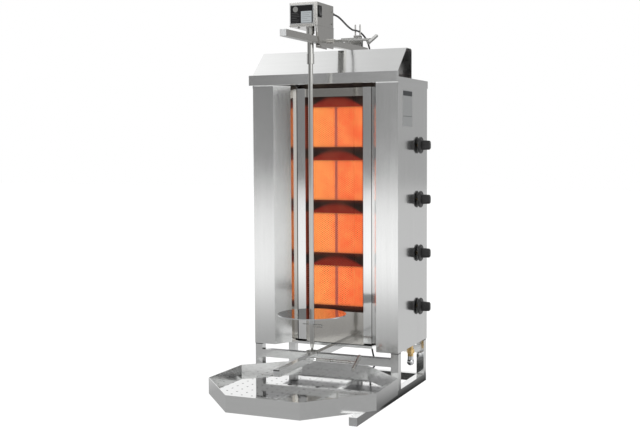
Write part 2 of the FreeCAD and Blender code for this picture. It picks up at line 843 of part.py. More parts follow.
# Spit rod, meat disc, its pin, and the coupling to the drive
def spit(tip_seat):
    head_low = spit_top - spit_head
    parts = [
        rod((0, spit_y, head_low), (0, 0, 1), spit_head_radius, spit_head),
        rod((0, spit_y, spit_taper_start), (0, 0, 1), spit_radius, head_low - spit_taper_start),
        Part.makeCone(spit_tip, spit_radius, spit_taper_start - spit_taper_end,
                      FreeCAD.Vector(0, spit_y, spit_taper_end)),
        rod((0, spit_y, tip_seat + slide_gap), (0, 0, 1), spit_tip,
            spit_taper_end - tip_seat - slide_gap),
    ]
    shaft = parts[0].fuse(parts[1:]).removeSplitter()
    hole = rod((-spit_radius - 1, spit_y, pin_z), (1, 0, 0), pin_radius + run_gap,
               spit_radius * 2 + 2)
    save("spit_rod", shaft.cut(hole))
    hub_low = pin_z + pin_radius + slide_gap
    hub = rod((0, spit_y, hub_low), (0, 0, 1), disc_hub_radius, disc_z - hub_low)
    disc = rod((0, spit_y, disc_z), (0, 0, 1), disc_radius, disc_thickness).fuse(hub)
    bore = rod((0, spit_y, hub_low - 1), (0, 0, 1), spit_radius + run_gap,
               disc_z + disc_thickness - hub_low + 2)
    save("meat_disc", disc.cut(bore).removeSplitter())
    pin = rod((-pin_left, spit_y, pin_z), (1, 0, 0), pin_radius, pin_left + pin_right)
    bend = Part.makeTorus(pin_bend, pin_radius, FreeCAD.Vector(pin_right, spit_y, pin_z - pin_bend),
                          FreeCAD.Vector(0, 1, 0))
    reach = pin_bend + pin_radius + 1
    outer_half = box(pin_right, pin_right + reach, spit_y - reach, spit_y + reach,
                     pin_z - pin_bend - reach, pin_z - pin_bend + reach)
    back = rod((pin_return, spit_y, pin_z - 2 * pin_bend), (1, 0, 0), pin_radius,
               pin_right - pin_return)
    save("disc_pin", pin.fuse([bend.common(outer_half), back]).removeSplitter())


def drive():
    low = spit_top + drive_end_gap
    socket_low = motor_base - socket_height
    tube = rod((0, spit_y, low), (0, 0, 1), drive_radius, socket_low - low)
    plate_low = motor_base - bracket_sheet
    socket = rod((0, spit_y, socket_low), (0, 0, 1), socket_radius, plate_low - slide_gap - socket_low)
    shaft_end = motor_base + motor_sheet + gearbox_height * 0.8
    shaft = rod((0, spit_y, plate_low - slide_gap), (0, 0, 1), shaft_radius,
                shaft_end - plate_low + slide_gap)
    save("drive_shaft", tube.fuse([socket, shaft]).removeSplitter())
    sleeve = rod((0, spit_y, sleeve_top - sleeve_height), (0, 0, 1), sleeve_radius, sleeve_height)
    bore = rod((0, spit_y, sleeve_top - sleeve_height - 1), (0, 0, 1), drive_radius + run_gap,
               sleeve_height + 2)
    save("coupling_sleeve", sleeve.cut(bore))


# Upper carriage: bracket, motor case, gear motor, switch, plate, gland and clamp screw
def upper_carriage():
    y0 = cab_front - motor_front
    y1 = cab_front - motor_back
    plate_low = motor_base - bracket_sheet
    arm_half = arm_size / 2 + slide_gap
    right = upper_arm_x + arm_half
    left = upper_arm_x - arm_half
    thick = motor_right - right
    line = [
        (y0, motor_base),
        (y0 + bracket_lean, bracket_slope_start),
        (y0 + bracket_slope, bracket_bottom + bracket_nose),
        (y0 + bracket_slope + bracket_toe, bracket_bottom),
        (y1 - bracket_corner, bracket_bottom),
        (y1, bracket_bottom + bracket_corner),
        (y1, motor_base),
    ]
    right_cheek = cheek(line, right, motor_right)
    left_front = spit_y + drive_radius + drive_side_gap
    left_cheek = box(left - thick, left, left_front, y1, bracket_bottom, motor_base)
    top = box(-motor_left, motor_right, y0, y1, plate_low, motor_base)
    pin_y = left_front + cross_pin_inset
    cross_z = upper_arm_low - slide_gap - cross_pin_radius
    cross_pin = rod((left - thick, pin_y, cross_z), (1, 0, 0), cross_pin_radius,
                    motor_right - left + thick)
    screw_y = cab_front - upper_screw_setback
    screw_z = upper_arm_low + arm_size / 2 + upper_screw_drop
    boss = rod((right, screw_y, screw_z), (1, 0, 0), screw_boss_radius + 1, thick + screw_boss)
    bore = rod((right - 1, screw_y, screw_z), (1, 0, 0), screw_rod + run_gap, thick + screw_boss + 2)
    hole = rod((0, spit_y, plate_low - 1), (0, 0, 1), shaft_radius + run_gap, bracket_sheet + 2)
    bracket = top.fuse([right_cheek, left_cheek, cross_pin, boss]).cut(bore.fuse(hole))
    save("motor_bracket", bracket.removeSplitter())
    turn = math.radians(upper_bar_turn)
    save("upper_clamp_screw",
         tee((right, screw_y, screw_z), (1, 0, 0), upper_screw_reach + thick,
             upper_bar, (0, math.cos(turn), math.sin(turn))))

    wall = motor_sheet
    case_top = motor_base + motor_height
    case = box(-motor_left, motor_right, y0, y1, motor_base, case_top)
    upright = [e for e in case.Edges if e.Length > motor_height - 0.1
               and abs(e.Length - motor_height) < 0.1]
    case = case.makeFillet(motor_corner, upright)
    lip = box(-motor_left - case_lip, motor_right + case_lip, y0 - case_lip, y1 + case_lip,
              motor_base, motor_base + wall)
    case = case.fuse(lip)
    inside = box(-motor_left + wall, motor_right - wall, y0 + wall, y1 - wall,
                 motor_base - 1, case_top - wall)
    case = case.cut(inside)
    switch_y = y0 + switch_inset + switch_width / 2
    switch_z = case_top - switch_drop - switch_height / 2
    rim = switch_rim
    opening = box(motor_right - wall - 1, motor_right + 1,
                  switch_y - switch_width / 2 + rim, switch_y + switch_width / 2 - rim,
                  switch_z - switch_height / 2 + rim, switch_z + switch_height / 2 - rim)
    case = case.cut(opening)
    save("motor_case", case)

    half_y = switch_width / 2
    half_z = switch_height / 2
    bezel = box(motor_right, motor_right + switch_proud, switch_y - half_y, switch_y + half_y,
                switch_z - half_z, switch_z + half_z)
    window = box(motor_right - 1, motor_right + switch_proud + 1,
                 switch_y - half_y + rim, switch_y + half_y - rim,
                 switch_z - half_z + rim, switch_z + half_z - rim)
    inner_y = half_y - rim - switch_gap
    inner_z = half_z - rim - switch_gap
    rocker = box(motor_right - switch_depth, motor_right + switch_proud + rocker_lift,
                 switch_y - inner_y, switch_y + inner_y, switch_z - inner_z, switch_z + inner_z)
    dish_x = motor_right + switch_proud + rocker_lift + inner_z * 3
    notch = rod((dish_x, switch_y - inner_y - 1, switch_z),
                (0, 1, 0), inner_z * 3 + rocker_dish, inner_y * 2 + 2)
    rocker = rocker.cut(notch)
    pivot = FreeCAD.Vector(motor_right, switch_y, switch_z)
    rocker = rocker.common(rod((motor_right, switch_y - inner_y, switch_z), (0, 1, 0),
                               inner_z, inner_y * 2))
    rocker.rotate(pivot, FreeCAD.Vector(0, 1, 0), -switch_tilt)
    save("rocker", rocker)

    plate_x0 = -motor_left + plate_inset
    plate_z0 = motor_base + plate_rise
    thin = label_thickness
    badge = box(plate_x0, plate_x0 + plate_width, y0 - thin, y0, plate_z0, plate_z0 + plate_height)
    rim_box = box(plate_x0, plate_x0 + plate_width, y0 - thin * 2, y0 - thin,
                  plate_z0, plate_z0 + plate_height)
    rim_box = rim_box.cut(box(plate_x0 + plate_rim, plate_x0 + plate_width - plate_rim,
                              y0 - thin * 3, y0, plate_z0 + plate_rim,
                              plate_z0 + plate_height - plate_rim))
    save("case_trim", badge.fuse(rim_box).removeSplitter(), bezel.cut(window))

    floor = motor_base
    g = gearbox_half
    gearbox = box(-g, g * 0.9, spit_y - g * 0.8, spit_y + g, floor, floor + gearbox_height)
    gearbox = gearbox.cut(rod((0, spit_y, floor - 1), (0, 0, 1), shaft_radius + run_gap,
                              gearbox_height * 0.9))
    can = rod((-motor_can_offset, spit_y + g, floor + motor_can_radius), (0, 1, 0),
              motor_can_radius, motor_can)
    save("gear_motor", gearbox, can)
    gland = Part.makeCone(gland_radius, gland_radius * 0.6, gland_length,
                          FreeCAD.Vector(gland_x, y1, gland_z), FreeCAD.Vector(0, 1, 0))
    save("cable_gland", gland)
    heads = []
    head_y = y1 - case_screw_inset
    for z in (case_top - case_screw_drop, motor_base + case_screw_rise):
        for x, side in ((motor_right, 1), (-motor_left, -1)):
            heads.append(rod((x, head_y, z), (side, 0, 0), case_screw_radius, case_screw_head))
    heads.append(rod((-under_screw[0], y0 + under_screw[1], plate_low), (0, 0, -1),
                     under_screw_radius, under_screw_head))
    save("motor_screws", *heads)


# Drip tray and its two perforated inserts
def tray():
    half = [
        (tray_front_half, cab_front - tray_front),
        (tray_shoulder_half, cab_front - tray_shoulder),
        (tray_hip_half, cab_front - tray_hip),
        (tray_back_half, cab_front + tray_back),
    ]
    outline = half + [(-x, y) for x, y in reversed(half)]
    low = rail_size + tray_gap
    high = low + tray_height
    inner = offset_line(outline, sheet, True)
    shell = slab(outline, low, high).cut(slab(inner, low + sheet, high + 1))
    seat = low + insert_height
    ledge = slab(offset_line(outline, sheet * 0.5, True), seat - sheet, seat)
    ledge = ledge.cut(slab(offset_line(outline, sheet + tray_ledge, True), seat - sheet - 1, seat + 1))
    rib = box(-tray_ledge, tray_ledge, cab_front - tray_front + sheet * 2,
              cab_front + tray_back - sheet * 2, low + sheet, seat)
    aside = FreeCAD.Vector(tray_offset, 0, 0)
    save("drip_tray", shell.fuse([ledge, rib]).removeSplitter().translated(aside))
    room = slab(offset_line(outline, sheet + insert_gap, True), seat, seat + sheet)
    x1 = tray_shoulder_half + insert_hole_lead
    y0 = cab_front - tray_front - insert_hole_lead
    y1 = cab_front + tray_back + insert_hole_lead
    right = room.common(box(insert_seam / 2, x1, y0, y1, seat - 1, seat + sheet + 1))
    border = slab(offset_line(outline, sheet + tray_ledge + insert_hole_radius, True),
                  seat - 1, seat + sheet + 1)
    finger_y = cab_front - finger_hole[1]
    holes = [rod((finger_hole[0], finger_y, seat - 1), (0, 0, 1), finger_hole_radius, sheet + 2)]
    for j in range(int((y1 - y0) / insert_hole_pitch)):
        y = y0 + insert_hole_pitch * (j + 0.5)
        for i in range(int(x1 / insert_hole_pitch)):
            x = insert_hole_start + insert_hole_pitch * i
            clear = math.hypot(x - finger_hole[0], y - finger_y) > finger_hole_radius * 2
            if clear and border.isInside(FreeCAD.Vector(x, y, seat), 0.01, True):
                holes.append(rod((x, y, seat - 1), (0, 0, 1), insert_hole_radius, sheet + 2))
    print("insert holes", len(holes))
    right = right.cut(holes)
    save("tray_insert_right", right.translated(aside))
    save("tray_insert_left", mirrored(right).translated(aside))


# Cord from the motor over the cable fork and down behind the cabinet
gland_end = (gland_x, cab_front - motor_back + gland_length, gland_z)
fork_spot = (pole_x, pole_front + pole_size / 2, pole_height)
pole_foot = (pole_x, pole_front + pole_size / 2, 0.0)
from_gland = [
    (0.0, 0.0, 0.0),
    (0.0, 14.0, 0.0),
    (1.0, 46.0, -5.0),
]
from_fork = [
    (27.5, -192.5, 27),
    (20.5, -148.5, 21),
    (13.5, -102.5, 17),
    (5.5, -58.5, 16),
    (0.5, -22.5, 19),
    (0.5, 3.5, 19),
    (7.5, 20.5, 12),
    (19.5, 25.5, -4),
    (30.5, 26.5, -27),
    (36.5, 26.5, -59),
    (37.5, 25.5, -113),
    (34.5, 23, -190),
    (33, 21, -270),
    (32, 19.5, -353),
    (31.5, 18.3, -435),
    (31.5, 17.5, -517),
    (31.9, 16.9, -600),
]
from_foot = [
    (32.7, 16.5, 480),
    (33.5, 16.3, 395),
    (34, 16.5, 310),
    (34.5, 17.1, 225),
    (35.5, 18.5, 160),
    (37.5, 22.5, 110),
    (40.5, 30.5, 72),
    (43.5, 41.5, 42),
    (41.5, 52.5, 20),
    (33.5, 60, 9),
    (22.5, 64.5, 4.2),
]


def placed(spot, offsets):
    return [tuple(spot[k] + offset[k] for k in range(3)) for offset in offsets]


cord_route = placed(gland_end, from_gland) + placed(fork_spot, from_fork)
cord_route += placed(pole_foot, from_foot)
coil_centre = (pole_foot[0] - coil_offset[0], pole_foot[1] + coil_offset[1])


def rounded_route(points):
    """Straight runs joined by tangent arcs, each as large as its runs allow."""
    spots = [FreeCAD.Vector(*p) for p in points]
    edges = []
    radii = []
    last = spots[0]
    for i in range(1, len(spots) - 1):
        back = spots[i - 1] - spots[i]
        ahead = spots[i + 1] - spots[i]
        turn = math.atan2(back.cross(ahead).Length, -back.dot(ahead))
        cut = 0.45 * min(back.Length, ahead.Length)
        radius = cut / math.tan(turn / 2)
        radii.append(radius)
        back.normalize()
        ahead.normalize()
        start = spots[i] + back * cut
        end = spots[i] + ahead * cut
        inward = back + ahead
        inward.normalize()
        middle = spots[i] + inward * (radius / math.cos(turn / 2) - radius)
        edges.append(Part.LineSegment(last, start).toShape())
        edges.append(Part.Arc(start, middle, end).toShape())
        last = end
    edges.append(Part.LineSegment(last, spots[-1]).toShape())
    print("cord radii", " ".join("%.0f" % r for r in radii))
    return Part.Wire(edges)


def pipe(path, radius, start, along):
    ring = Part.Wire([Part.makeCircle(radius, start, along)])
    maker = Part.BRepOffsetAPI.MakePipeShell(path)
    maker.add(ring)
    maker.build()
    maker.makeSolid()
    solid = Part.Solid(maker.shape())
    expected = math.pi * radius * radius * path.Length
    print("tube length %.1f volume ratio %.4f" % (path.Length, solid.Volume / expected))
    return solid


def biarc(p, tangent_p, q, tangent_q):
    """Two arcs that join two points and their directions."""
    chord = q - p
    both = tangent_p + tangent_q
    a = 2 * (tangent_p.dot(tangent_q) - 1)
    b = -2 * chord.dot(both)
    c = chord.dot(chord)
    if abs(a) < 1e-9:
        reach = -c / b
    else:
        reach = (-b - math.sqrt(b * b - 4 * a * c)) / (2 * a)
    joint = (p + tangent_p * reach + q - tangent_q * reach) * 0.5
    return [arc_from(p, tangent_p, joint), arc_to(joint, q, tangent_q)]


def arc_from(start, tangent, end):
    return Part.Arc(start, arc_middle(start, tangent, end), end).toShape()


def arc_to(start, end, tangent):
    return Part.Arc(start, arc_middle(end, tangent * -1, start), end).toShape()


def arc_middle(start, tangent, end):
    """Halfway point of the arc that leaves start along tangent and reaches end."""
    chord = end - start
    half_turn = tangent.getAngle(chord)
    bow = chord.Length / 2 * math.tan(half_turn / 2)
    side = tangent - chord * (tangent.dot(chord) / chord.dot(chord))
    side.normalize()
    return start + chord * 0.5 + side * bow


def coil_point(t):
    """Point on the coil at t turns: spirals in, climbs a layer, and spirals out."""
    if t <= coil_turns:
        shrink = t
        rise = 0.0
    elif t >= coil_turns + 0.5:
        shrink = 2 * coil_turns + 0.5 - t
        rise = 1.0
    else:
        shrink = coil_turns
        rise = 0.5 - 0.5 * math.cos(2 * math.pi * (t - coil_turns))
    radius = coil_radius - coil_pitch * shrink
    turn = 2 * math.pi * t + math.pi / 2
    return FreeCAD.Vector(coil_centre[0] + radius * math.cos(turn),
                          coil_centre[1] + radius * math.sin(turn),
                          cord_radius + coil_layer * rise)


def coil_wire():
    total = 2 * coil_turns + 0.5
    steps = int(total * 4)
    small = 1e-4
    edges = []
    for i in range(steps):
        t0 = total * i / steps
        t1 = total * (i + 1) / steps
        tangents = []
        for t in (t0, t1):
            direction = coil_point(t + small) - coil_point(t - small)
            direction.normalize()
            tangents.append(direction)
        edges += biarc(coil_point(t0), tangents[0], coil_point(t1), tangents[1])
    return Part.Wire(edges)


def least_gap(total):
    """Smallest distance between turns of the coil, less the cord's diameter."""
    count = 400
    points = [coil_point(total * i / count) for i in range(count + 1)]
    apart = int(count / total * 0.6)
    gap = 1e9
    for i in range(count + 1):
        for j in range(i + apart, count + 1):
            gap = min(gap, points[i].distanceToPoint(points[j]))
    return gap - 2 * cord_radius


def cord():
    total = 2 * coil_turns + 0.5
    wire = coil_wire()
    start = coil_point(0)
    heading = coil_point(1e-4) - coil_point(-1e-4)
    heading.normalize()
    save("cord_coil", pipe(wire, cord_radius, start, heading))
    print("coil gap %.2f" % least_gap(total))
    lead = start - heading * cord_lead
    points = cord_route + [(lead.x, lead.y, lead.z), (start.x, start.y, start.z)]
    route = rounded_route(points)
    first = FreeCAD.Vector(*points[1]) - FreeCAD.Vector(*points[0])
    save("cord_free", pipe(route, cord_radius, FreeCAD.Vector(*points[0]), first))
    end = coil_point(total)
    rise = end.z
    half = plug_width / 2
    x = end.x + plug_tail
    tail = rod((end.x, end.y, rise), (1, 0, 0), cord_radius, plug_tail)
    body = box(x, x + plug_length, end.y - half, end.y + half, 0, rise * 2)
    corners = [e for e in body.Edges if abs(e.tangentAt(e.FirstParameter).z) > 0.9]
    body = body.makeFillet(rise * 0.6, corners)
    parts = [body]
    for side in (-1, 1):
        parts.append(rod((x + plug_length, end.y + side * plug_pin_spread / 2, rise), (1, 0, 0),
                         plug_pin, plug_pin_length))
    save("plug", tail.fuse(parts).removeSplitter())


base_frame()
cabinet()
fascia_and_hood()
guard()
burners()
gas_train()
trim()
arms()
pole_clamp()
spit(lower_carriage())
drive()
upper_carriage()
tray()
cord()
print("cabinet", round(cab_low, 2), round(cab_top, 2), "hood top", round(hood_top, 2))
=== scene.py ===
import math

import bmesh
import bpy
import numpy as np
from mathutils import Matrix, Vector


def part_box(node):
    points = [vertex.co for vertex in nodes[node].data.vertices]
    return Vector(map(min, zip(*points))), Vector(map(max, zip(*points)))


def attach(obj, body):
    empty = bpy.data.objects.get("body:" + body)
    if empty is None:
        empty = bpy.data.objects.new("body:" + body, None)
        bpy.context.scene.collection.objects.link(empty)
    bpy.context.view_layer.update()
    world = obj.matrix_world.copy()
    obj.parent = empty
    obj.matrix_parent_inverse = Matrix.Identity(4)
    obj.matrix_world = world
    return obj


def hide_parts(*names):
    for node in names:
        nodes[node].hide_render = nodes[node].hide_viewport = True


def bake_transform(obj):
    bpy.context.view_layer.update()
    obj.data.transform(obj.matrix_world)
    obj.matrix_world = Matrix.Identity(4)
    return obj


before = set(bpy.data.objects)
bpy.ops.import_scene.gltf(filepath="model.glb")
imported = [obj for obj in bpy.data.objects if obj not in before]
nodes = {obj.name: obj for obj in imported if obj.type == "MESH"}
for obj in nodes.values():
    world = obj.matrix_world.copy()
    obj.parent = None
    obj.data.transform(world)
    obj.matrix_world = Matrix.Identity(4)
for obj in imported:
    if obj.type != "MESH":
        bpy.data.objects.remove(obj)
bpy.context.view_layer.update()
print("frame loaded")

# camera at the photograph's viewing angle
cameraSettings = {
    "place": (1.3162, -3.0693, 0.79305),
    "lens": 58.707,
    "sensor": 36.0,
    "yaw": 23.53,
    "pitch": 3.72,
    "roll": -0.29,
}


def placeCamera():
    yaw = math.radians(cameraSettings["yaw"])
    pitch = math.radians(cameraSettings["pitch"])
    roll = math.radians(cameraSettings["roll"])
    ahead = Vector((-math.sin(yaw) * math.cos(pitch), math.cos(yaw) * math.cos(pitch), -math.sin(pitch)))
    right = Vector((math.cos(yaw), math.sin(yaw), 0.0))
    up = right.cross(ahead)
    across = right * math.cos(roll) + up * math.sin(roll)
    upward = up * math.cos(roll) - right * math.sin(roll)
    data = bpy.data.cameras.new("camera")
    data.lens = cameraSettings["lens"]
    data.sensor_width = cameraSettings["sensor"]
    camera = bpy.data.objects.new("camera", data)
    turn = Matrix((across, upward, -ahead)).transposed().to_4x4()
    camera.matrix_world = Matrix.Translation(cameraSettings["place"]) @ turn
    bpy.context.collection.objects.link(camera)
    bpy.context.scene.camera = camera


placeCamera()

# shader helpers


def startMaterial(name):
    material = bpy.data.materials.new(name)
    material.use_nodes = True
    return material, material.node_tree, material.node_tree.nodes["Principled BSDF"]


def addNode(tree, kind, inputs, output=0, **settings):
    # a value of inputs that is a socket is linked, any other is typed in
    node = tree.nodes.new("ShaderNode" + kind)
    for key, value in settings.items():
        setattr(node, key, value)
    for key, value in inputs.items():
        if isinstance(value, bpy.types.NodeSocket):
            tree.links.new(value, node.inputs[key])
        else:
            node.inputs[key].default_value = value
    return node.outputs[output]


def objectPlace(tree, scale=(1.0, 1.0, 1.0)):
    place = addNode(tree, "TexCoord", {}, "Object")
    return addNode(tree, "Mapping", {"Vector": place, "Scale": scale})


def noise(tree, place, scale, detail=2.0):
    return addNode(tree, "TexNoise", {"Vector": place, "Scale": scale, "Detail": detail}, "Fac")


def spread(tree, value, low, high, toLow=0.0, toHigh=1.0, smooth=False):
    kind = "SMOOTHSTEP" if smooth else "LINEAR"
    ends = {"Value": value, "From Min": low, "From Max": high, "To Min": toLow, "To Max": toHigh}
    return addNode(tree, "MapRange", ends, interpolation_type=kind)


def calc(tree, operation, a, b=0.0):
    return addNode(tree, "Math", {0: a, 1: b}, operation=operation)


def blendColor(tree, share, a, b):
    node = tree.nodes.new("ShaderNodeMix")
    node.data_type = "RGBA"
    for key, value in {"Factor": share, "A": a, "B": b}.items():
        socket = next(s for s in node.inputs if s.name == key and (key == "Factor" or s.type == "RGBA"))
        if isinstance(value, bpy.types.NodeSocket):
            tree.links.new(value, socket)
        else:
            socket.default_value = value
    return next(s for s in node.outputs if s.type == "RGBA")


def axesOf(tree, vector):
    return addNode(tree, "SeparateXYZ", {"Vector": vector}, 0).node.outputs


def facingOf(tree, axis):
    # how far the surface faces along an axis of its object, from -1 to 1
    return axesOf(tree, addNode(tree, "TexCoord", {}, "Normal"))[axis]


def color(r, g, b):
    return (r, g, b, 1.0)


def toned(tone, factor):
    return color(*[channel * factor for channel in tone])


def bump(tree, shader, height, strength, distance):
    normal = addNode(tree, "Bump", {"Height": height, "Strength": strength, "Distance": distance})
    tree.links.new(normal, shader.inputs["Normal"])


# brushed sheet and tube: streaks drawn out along the grain, with wipe marks and a little spread in tone, and painted
# shade on faces that point down
brushedLook = {
    "tone": (0.870, 0.875, 0.870),
    "toneSpread": (0.975, 1.02),
    "rough": (0.12, 0.17),
    "grainScale": 900.0,
    "grainStretch": 9.0,
    "streakScale": 95.0,
    "streakStretch": 2.5,
    "wipeScale": 5.0,
    "grainBump": 0.03,
}


def brushedSteel(name, along, tint=(1.0, 1.0, 1.0), roughShift=0.0, underside=1.0):
    material, tree, shader = startMaterial(name)
    look = brushedLook
    fine = [look["grainScale"]] * 3
    broad = [look["streakScale"]] * 3
    fine[along] = look["grainStretch"]
    broad[along] = look["streakStretch"]
    grain = noise(tree, objectPlace(tree, fine), 1.0, 3.0)
    streak = noise(tree, objectPlace(tree, broad), 1.0, 2.0)
    wipe = noise(tree, objectPlace(tree), look["wipeScale"], 4.0)
    tone = [channel * tint[k] for k, channel in enumerate(look["tone"])]
    dark, pale = (toned(tone, factor) for factor in look["toneSpread"])
    mix = calc(tree, "ADD", calc(tree, "MULTIPLY", streak, 0.65), calc(tree, "MULTIPLY", wipe, 0.35))
    base = blendColor(tree, spread(tree, mix, 0.3, 0.7), dark, pale)
    # painted shade: faces that point down are darkened to the given share of the tone
    paintedUnderMask = spread(tree, facingOf(tree, "Z"), -0.8, -0.95)
    base = blendColor(tree, paintedUnderMask, base, toned(tone, underside))
    tree.links.new(base, shader.inputs["Base Color"])
    low, high = look["rough"]
    rough = calc(tree, "ADD", spread(tree, grain, 0.3, 0.7, low, high), spread(tree, wipe, 0.3, 0.7, -0.015, 0.025))
    tree.links.new(calc(tree, "ADD", rough, roughShift), shader.inputs["Roughness"])
    shader.inputs["Metallic"].default_value = 1.0
    bump(tree, shader, grain, look["grainBump"], 0.0001)
    return material


# polished sheet and turned bar: near mirror with hairlines and faint smears
polishedLook = {
    "tone": (0.88, 0.885, 0.88),
    "toneSpread": (0.97, 1.02),
    "rough": (0.03, 0.07),
    "hairScale": (1300.0, 1300.0, 30.0),
    "smearScale": 11.0,
}


def polishedSteel(name, tint=(1.0, 1.0, 1.0), rougher=0.0):
    material, tree, shader = startMaterial(name)
    look = polishedLook
    hair = noise(tree, objectPlace(tree, look["hairScale"]), 1.0, 2.0)
    smear = noise(tree, objectPlace(tree), look["smearScale"], 5.0)
    tone = [look["tone"][k] * tint[k] for k in range(3)]
    dark, pale = (toned(tone, factor) for factor in look["toneSpread"])
    tree.links.new(blendColor(tree, smear, dark, pale), shader.inputs["Base Color"])
    low, high = look["rough"]
    rough = calc(tree, "ADD", spread(tree, smear, 0.35, 0.7, low, high), spread(tree, hair, 0.4, 0.8, 0.0, 0.02))
    tree.links.new(calc(tree, "ADD", rough, rougher), shader.inputs["Roughness"])
    shader.inputs["Metallic"].default_value = 1.0
    bump(tree, shader, hair, 0.02, 0.0001)
    return material


# sheet round the burners: blued and browned by heat, with painted light of the tiles: a dull red glow that arches
# over each row of tiles on the frame, and a warm band across the rows on the net and the probes
tintedLook = {
    "straw": (0.085, 0.066, 0.050),
    "brown": (0.045, 0.032, 0.026),
    "blue": (0.040, 0.040, 0.050),
    "glow": (1.0, 0.060, 0.022),
    "paintedTileLightStrength": 0.30,
    "paintedTileLightReach": 0.040,
}
# net before the burners: heat tint, and a painted warm band of the tiles' light across each row
netLook = {
    "straw": (0.12, 0.06, 0.04),
    "brown": (0.06, 0.035, 0.03),
    "blue": (0.05, 0.04, 0.05),
    "glow": (1.0, 0.12, 0.035),
    "paintedTileLightStrength": 0.16,
}
# rows of ceramic plates: height of the first row's middle, distance of the rows, half sizes of a row
burnerRows = {"first": 0.3322, "pitch": 0.1738, "halfHeight": 0.0655, "halfWidth": 0.0925}


def abovePlates(tree, height):
    # height past the top of the plates below it, and 1 where there are such plates
    top = burnerRows["first"] + burnerRows["halfHeight"]
    past = calc(tree, "MODULO", calc(tree, "SUBTRACT", height, top - burnerRows["pitch"] * 2), burnerRows["pitch"])
    return past, spread(tree, height, top - 0.002, top)


def rowDistance(tree, height):
    # distance of a height from the middle of its row: |wrap(z - first + pitch / 2, pitch) - pitch / 2|
    lifted = calc(tree, "SUBTRACT", height, burnerRows["first"] - burnerRows["pitch"] * 1.5)
    wrapped = calc(tree, "MODULO", lifted, burnerRows["pitch"])
    return calc(tree, "ABSOLUTE", calc(tree, "SUBTRACT", wrapped, burnerRows["pitch"] / 2))


def tintedSteel(name, look, paintedArches):
    material, tree, shader = startMaterial(name)
    place = objectPlace(tree)
    blotch = noise(tree, place, 24.0, 5.0)
    grain = noise(tree, objectPlace(tree, (500.0, 500.0, 20.0)), 1.0, 2.0)
    straw, brown, blue = (color(*look[key]) for key in ("straw", "brown", "blue"))
    base = blendColor(tree, spread(tree, blotch, 0.42, 0.62), brown, straw)
    base = blendColor(tree, spread(tree, grain, 0.35, 0.9, 0.0, 0.6), base, blue)
    tree.links.new(base, shader.inputs["Base Color"])
    tree.links.new(spread(tree, blotch, 0.3, 0.7, 0.34, 0.52), shader.inputs["Roughness"])
    shader.inputs["Metallic"].default_value = 1.0
    bump(tree, shader, grain, 0.12, 0.0003)
    axes = axesOf(tree, place)
    shader.inputs["Emission Color"].default_value = color(*look["glow"])
    if paintedArches:
        # painted light: the tiles' red light on the sheet, an arch above each row that fades upwards
        side = calc(tree, "DIVIDE", axes["X"], burnerRows["halfWidth"])
        arch = calc(tree, "SUBTRACT", 1.0, calc(tree, "MULTIPLY", side, side))
        reach = calc(tree, "MULTIPLY", calc(tree, "MAXIMUM", arch, 0.05), look["paintedTileLightReach"])
        past, above = abovePlates(tree, axes["Z"])
        paintedArchLight = spread(tree, calc(tree, "DIVIDE", past, reach), 0.45, 1.0, look["paintedTileLightStrength"], 0.0, True)
        tree.links.new(calc(tree, "MULTIPLY", paintedArchLight, above), shader.inputs["Emission Strength"])
    else:
        # painted light: a warm band of the tiles' light across each row of tiles
        past = calc(tree, "SUBTRACT", rowDistance(tree, axes["Z"]), burnerRows["halfHeight"])
        paintedRowLight = spread(tree, past, -0.004, 0.012, look["paintedTileLightStrength"], 0.0, True)
        tree.links.new(paintedRowLight, shader.inputs["Emission Strength"])
    return material


# ceramic plates: orange glow with rows of fine holes, cooler at the border and where two plates meet
ceramicLook = {
    "hot": (1.00, 0.245, 0.060),
    "deep": (0.88, 0.110, 0.020),
    "yellow": (1.00, 0.360, 0.075),
    "cool": (0.42, 0.085, 0.080),
    "strength": 1.42,
    "holePitch": 0.0026,
    "joint": 0.0035,
    "jointSoft": 0.003,
    "border": 0.009,
}


def glowingCeramic():
    material, tree, shader = startMaterial("glowingCeramic")
    look = ceramicLook
    place = objectPlace(tree)
    axes = axesOf(tree, place)
    cloud = noise(tree, place, 26.0, 4.0)
    mottle = noise(tree, place, 140.0, 2.0)
    heat = blendColor(tree, spread(tree, cloud, 0.32, 0.66), color(*look["deep"]), color(*look["hot"]))
    left = spread(tree, axes["X"], 0.03, -0.07, 0.0, 0.65, True)
    heat = blendColor(tree, left, heat, color(*look["yellow"]))
    cells = 1.0 / look["holePitch"]
    holes = addNode(tree, "TexVoronoi", {"Vector": place, "Scale": cells, "Randomness": 0.12}, "Distance")
    dots = spread(tree, holes, 0.12, 0.34, 0.55, 1.0, True)
    toEdge = calc(tree, "SUBTRACT", burnerRows["halfHeight"], rowDistance(tree, axes["Z"]))
    border = spread(tree, toEdge, 0.0, look["border"], 0.45, 1.0, True)
    aside = calc(tree, "ABSOLUTE", axes["X"])
    seam = spread(tree, aside, look["joint"], look["joint"] + look["jointSoft"], 0.0, 1.0, True)
    heat = blendColor(tree, seam, color(*look["cool"]), heat)
    power = calc(tree, "MULTIPLY", calc(tree, "MULTIPLY", dots, border), spread(tree, seam, 0.0, 1.0, 0.75, 1.0))
    power = calc(tree, "MULTIPLY", power, spread(tree, mottle, 0.3, 0.7, 0.92, 1.08))
    # only the front faces glow
    power = calc(tree, "MULTIPLY", power, spread(tree, facingOf(tree, "Y"), -0.5, -0.8))
    tree.links.new(heat, shader.inputs["Emission Color"])
    tree.links.new(calc(tree, "MULTIPLY", power, look["strength"]), shader.inputs["Emission Strength"])
    chalk = blendColor(tree, mottle, color(0.50, 0.22, 0.12), color(0.62, 0.30, 0.17))
    tree.links.new(chalk, shader.inputs["Base Color"])
    shader.inputs["Roughness"].default_value = 0.9
    bump(tree, shader, holes, 0.4, 0.0006)
    return material


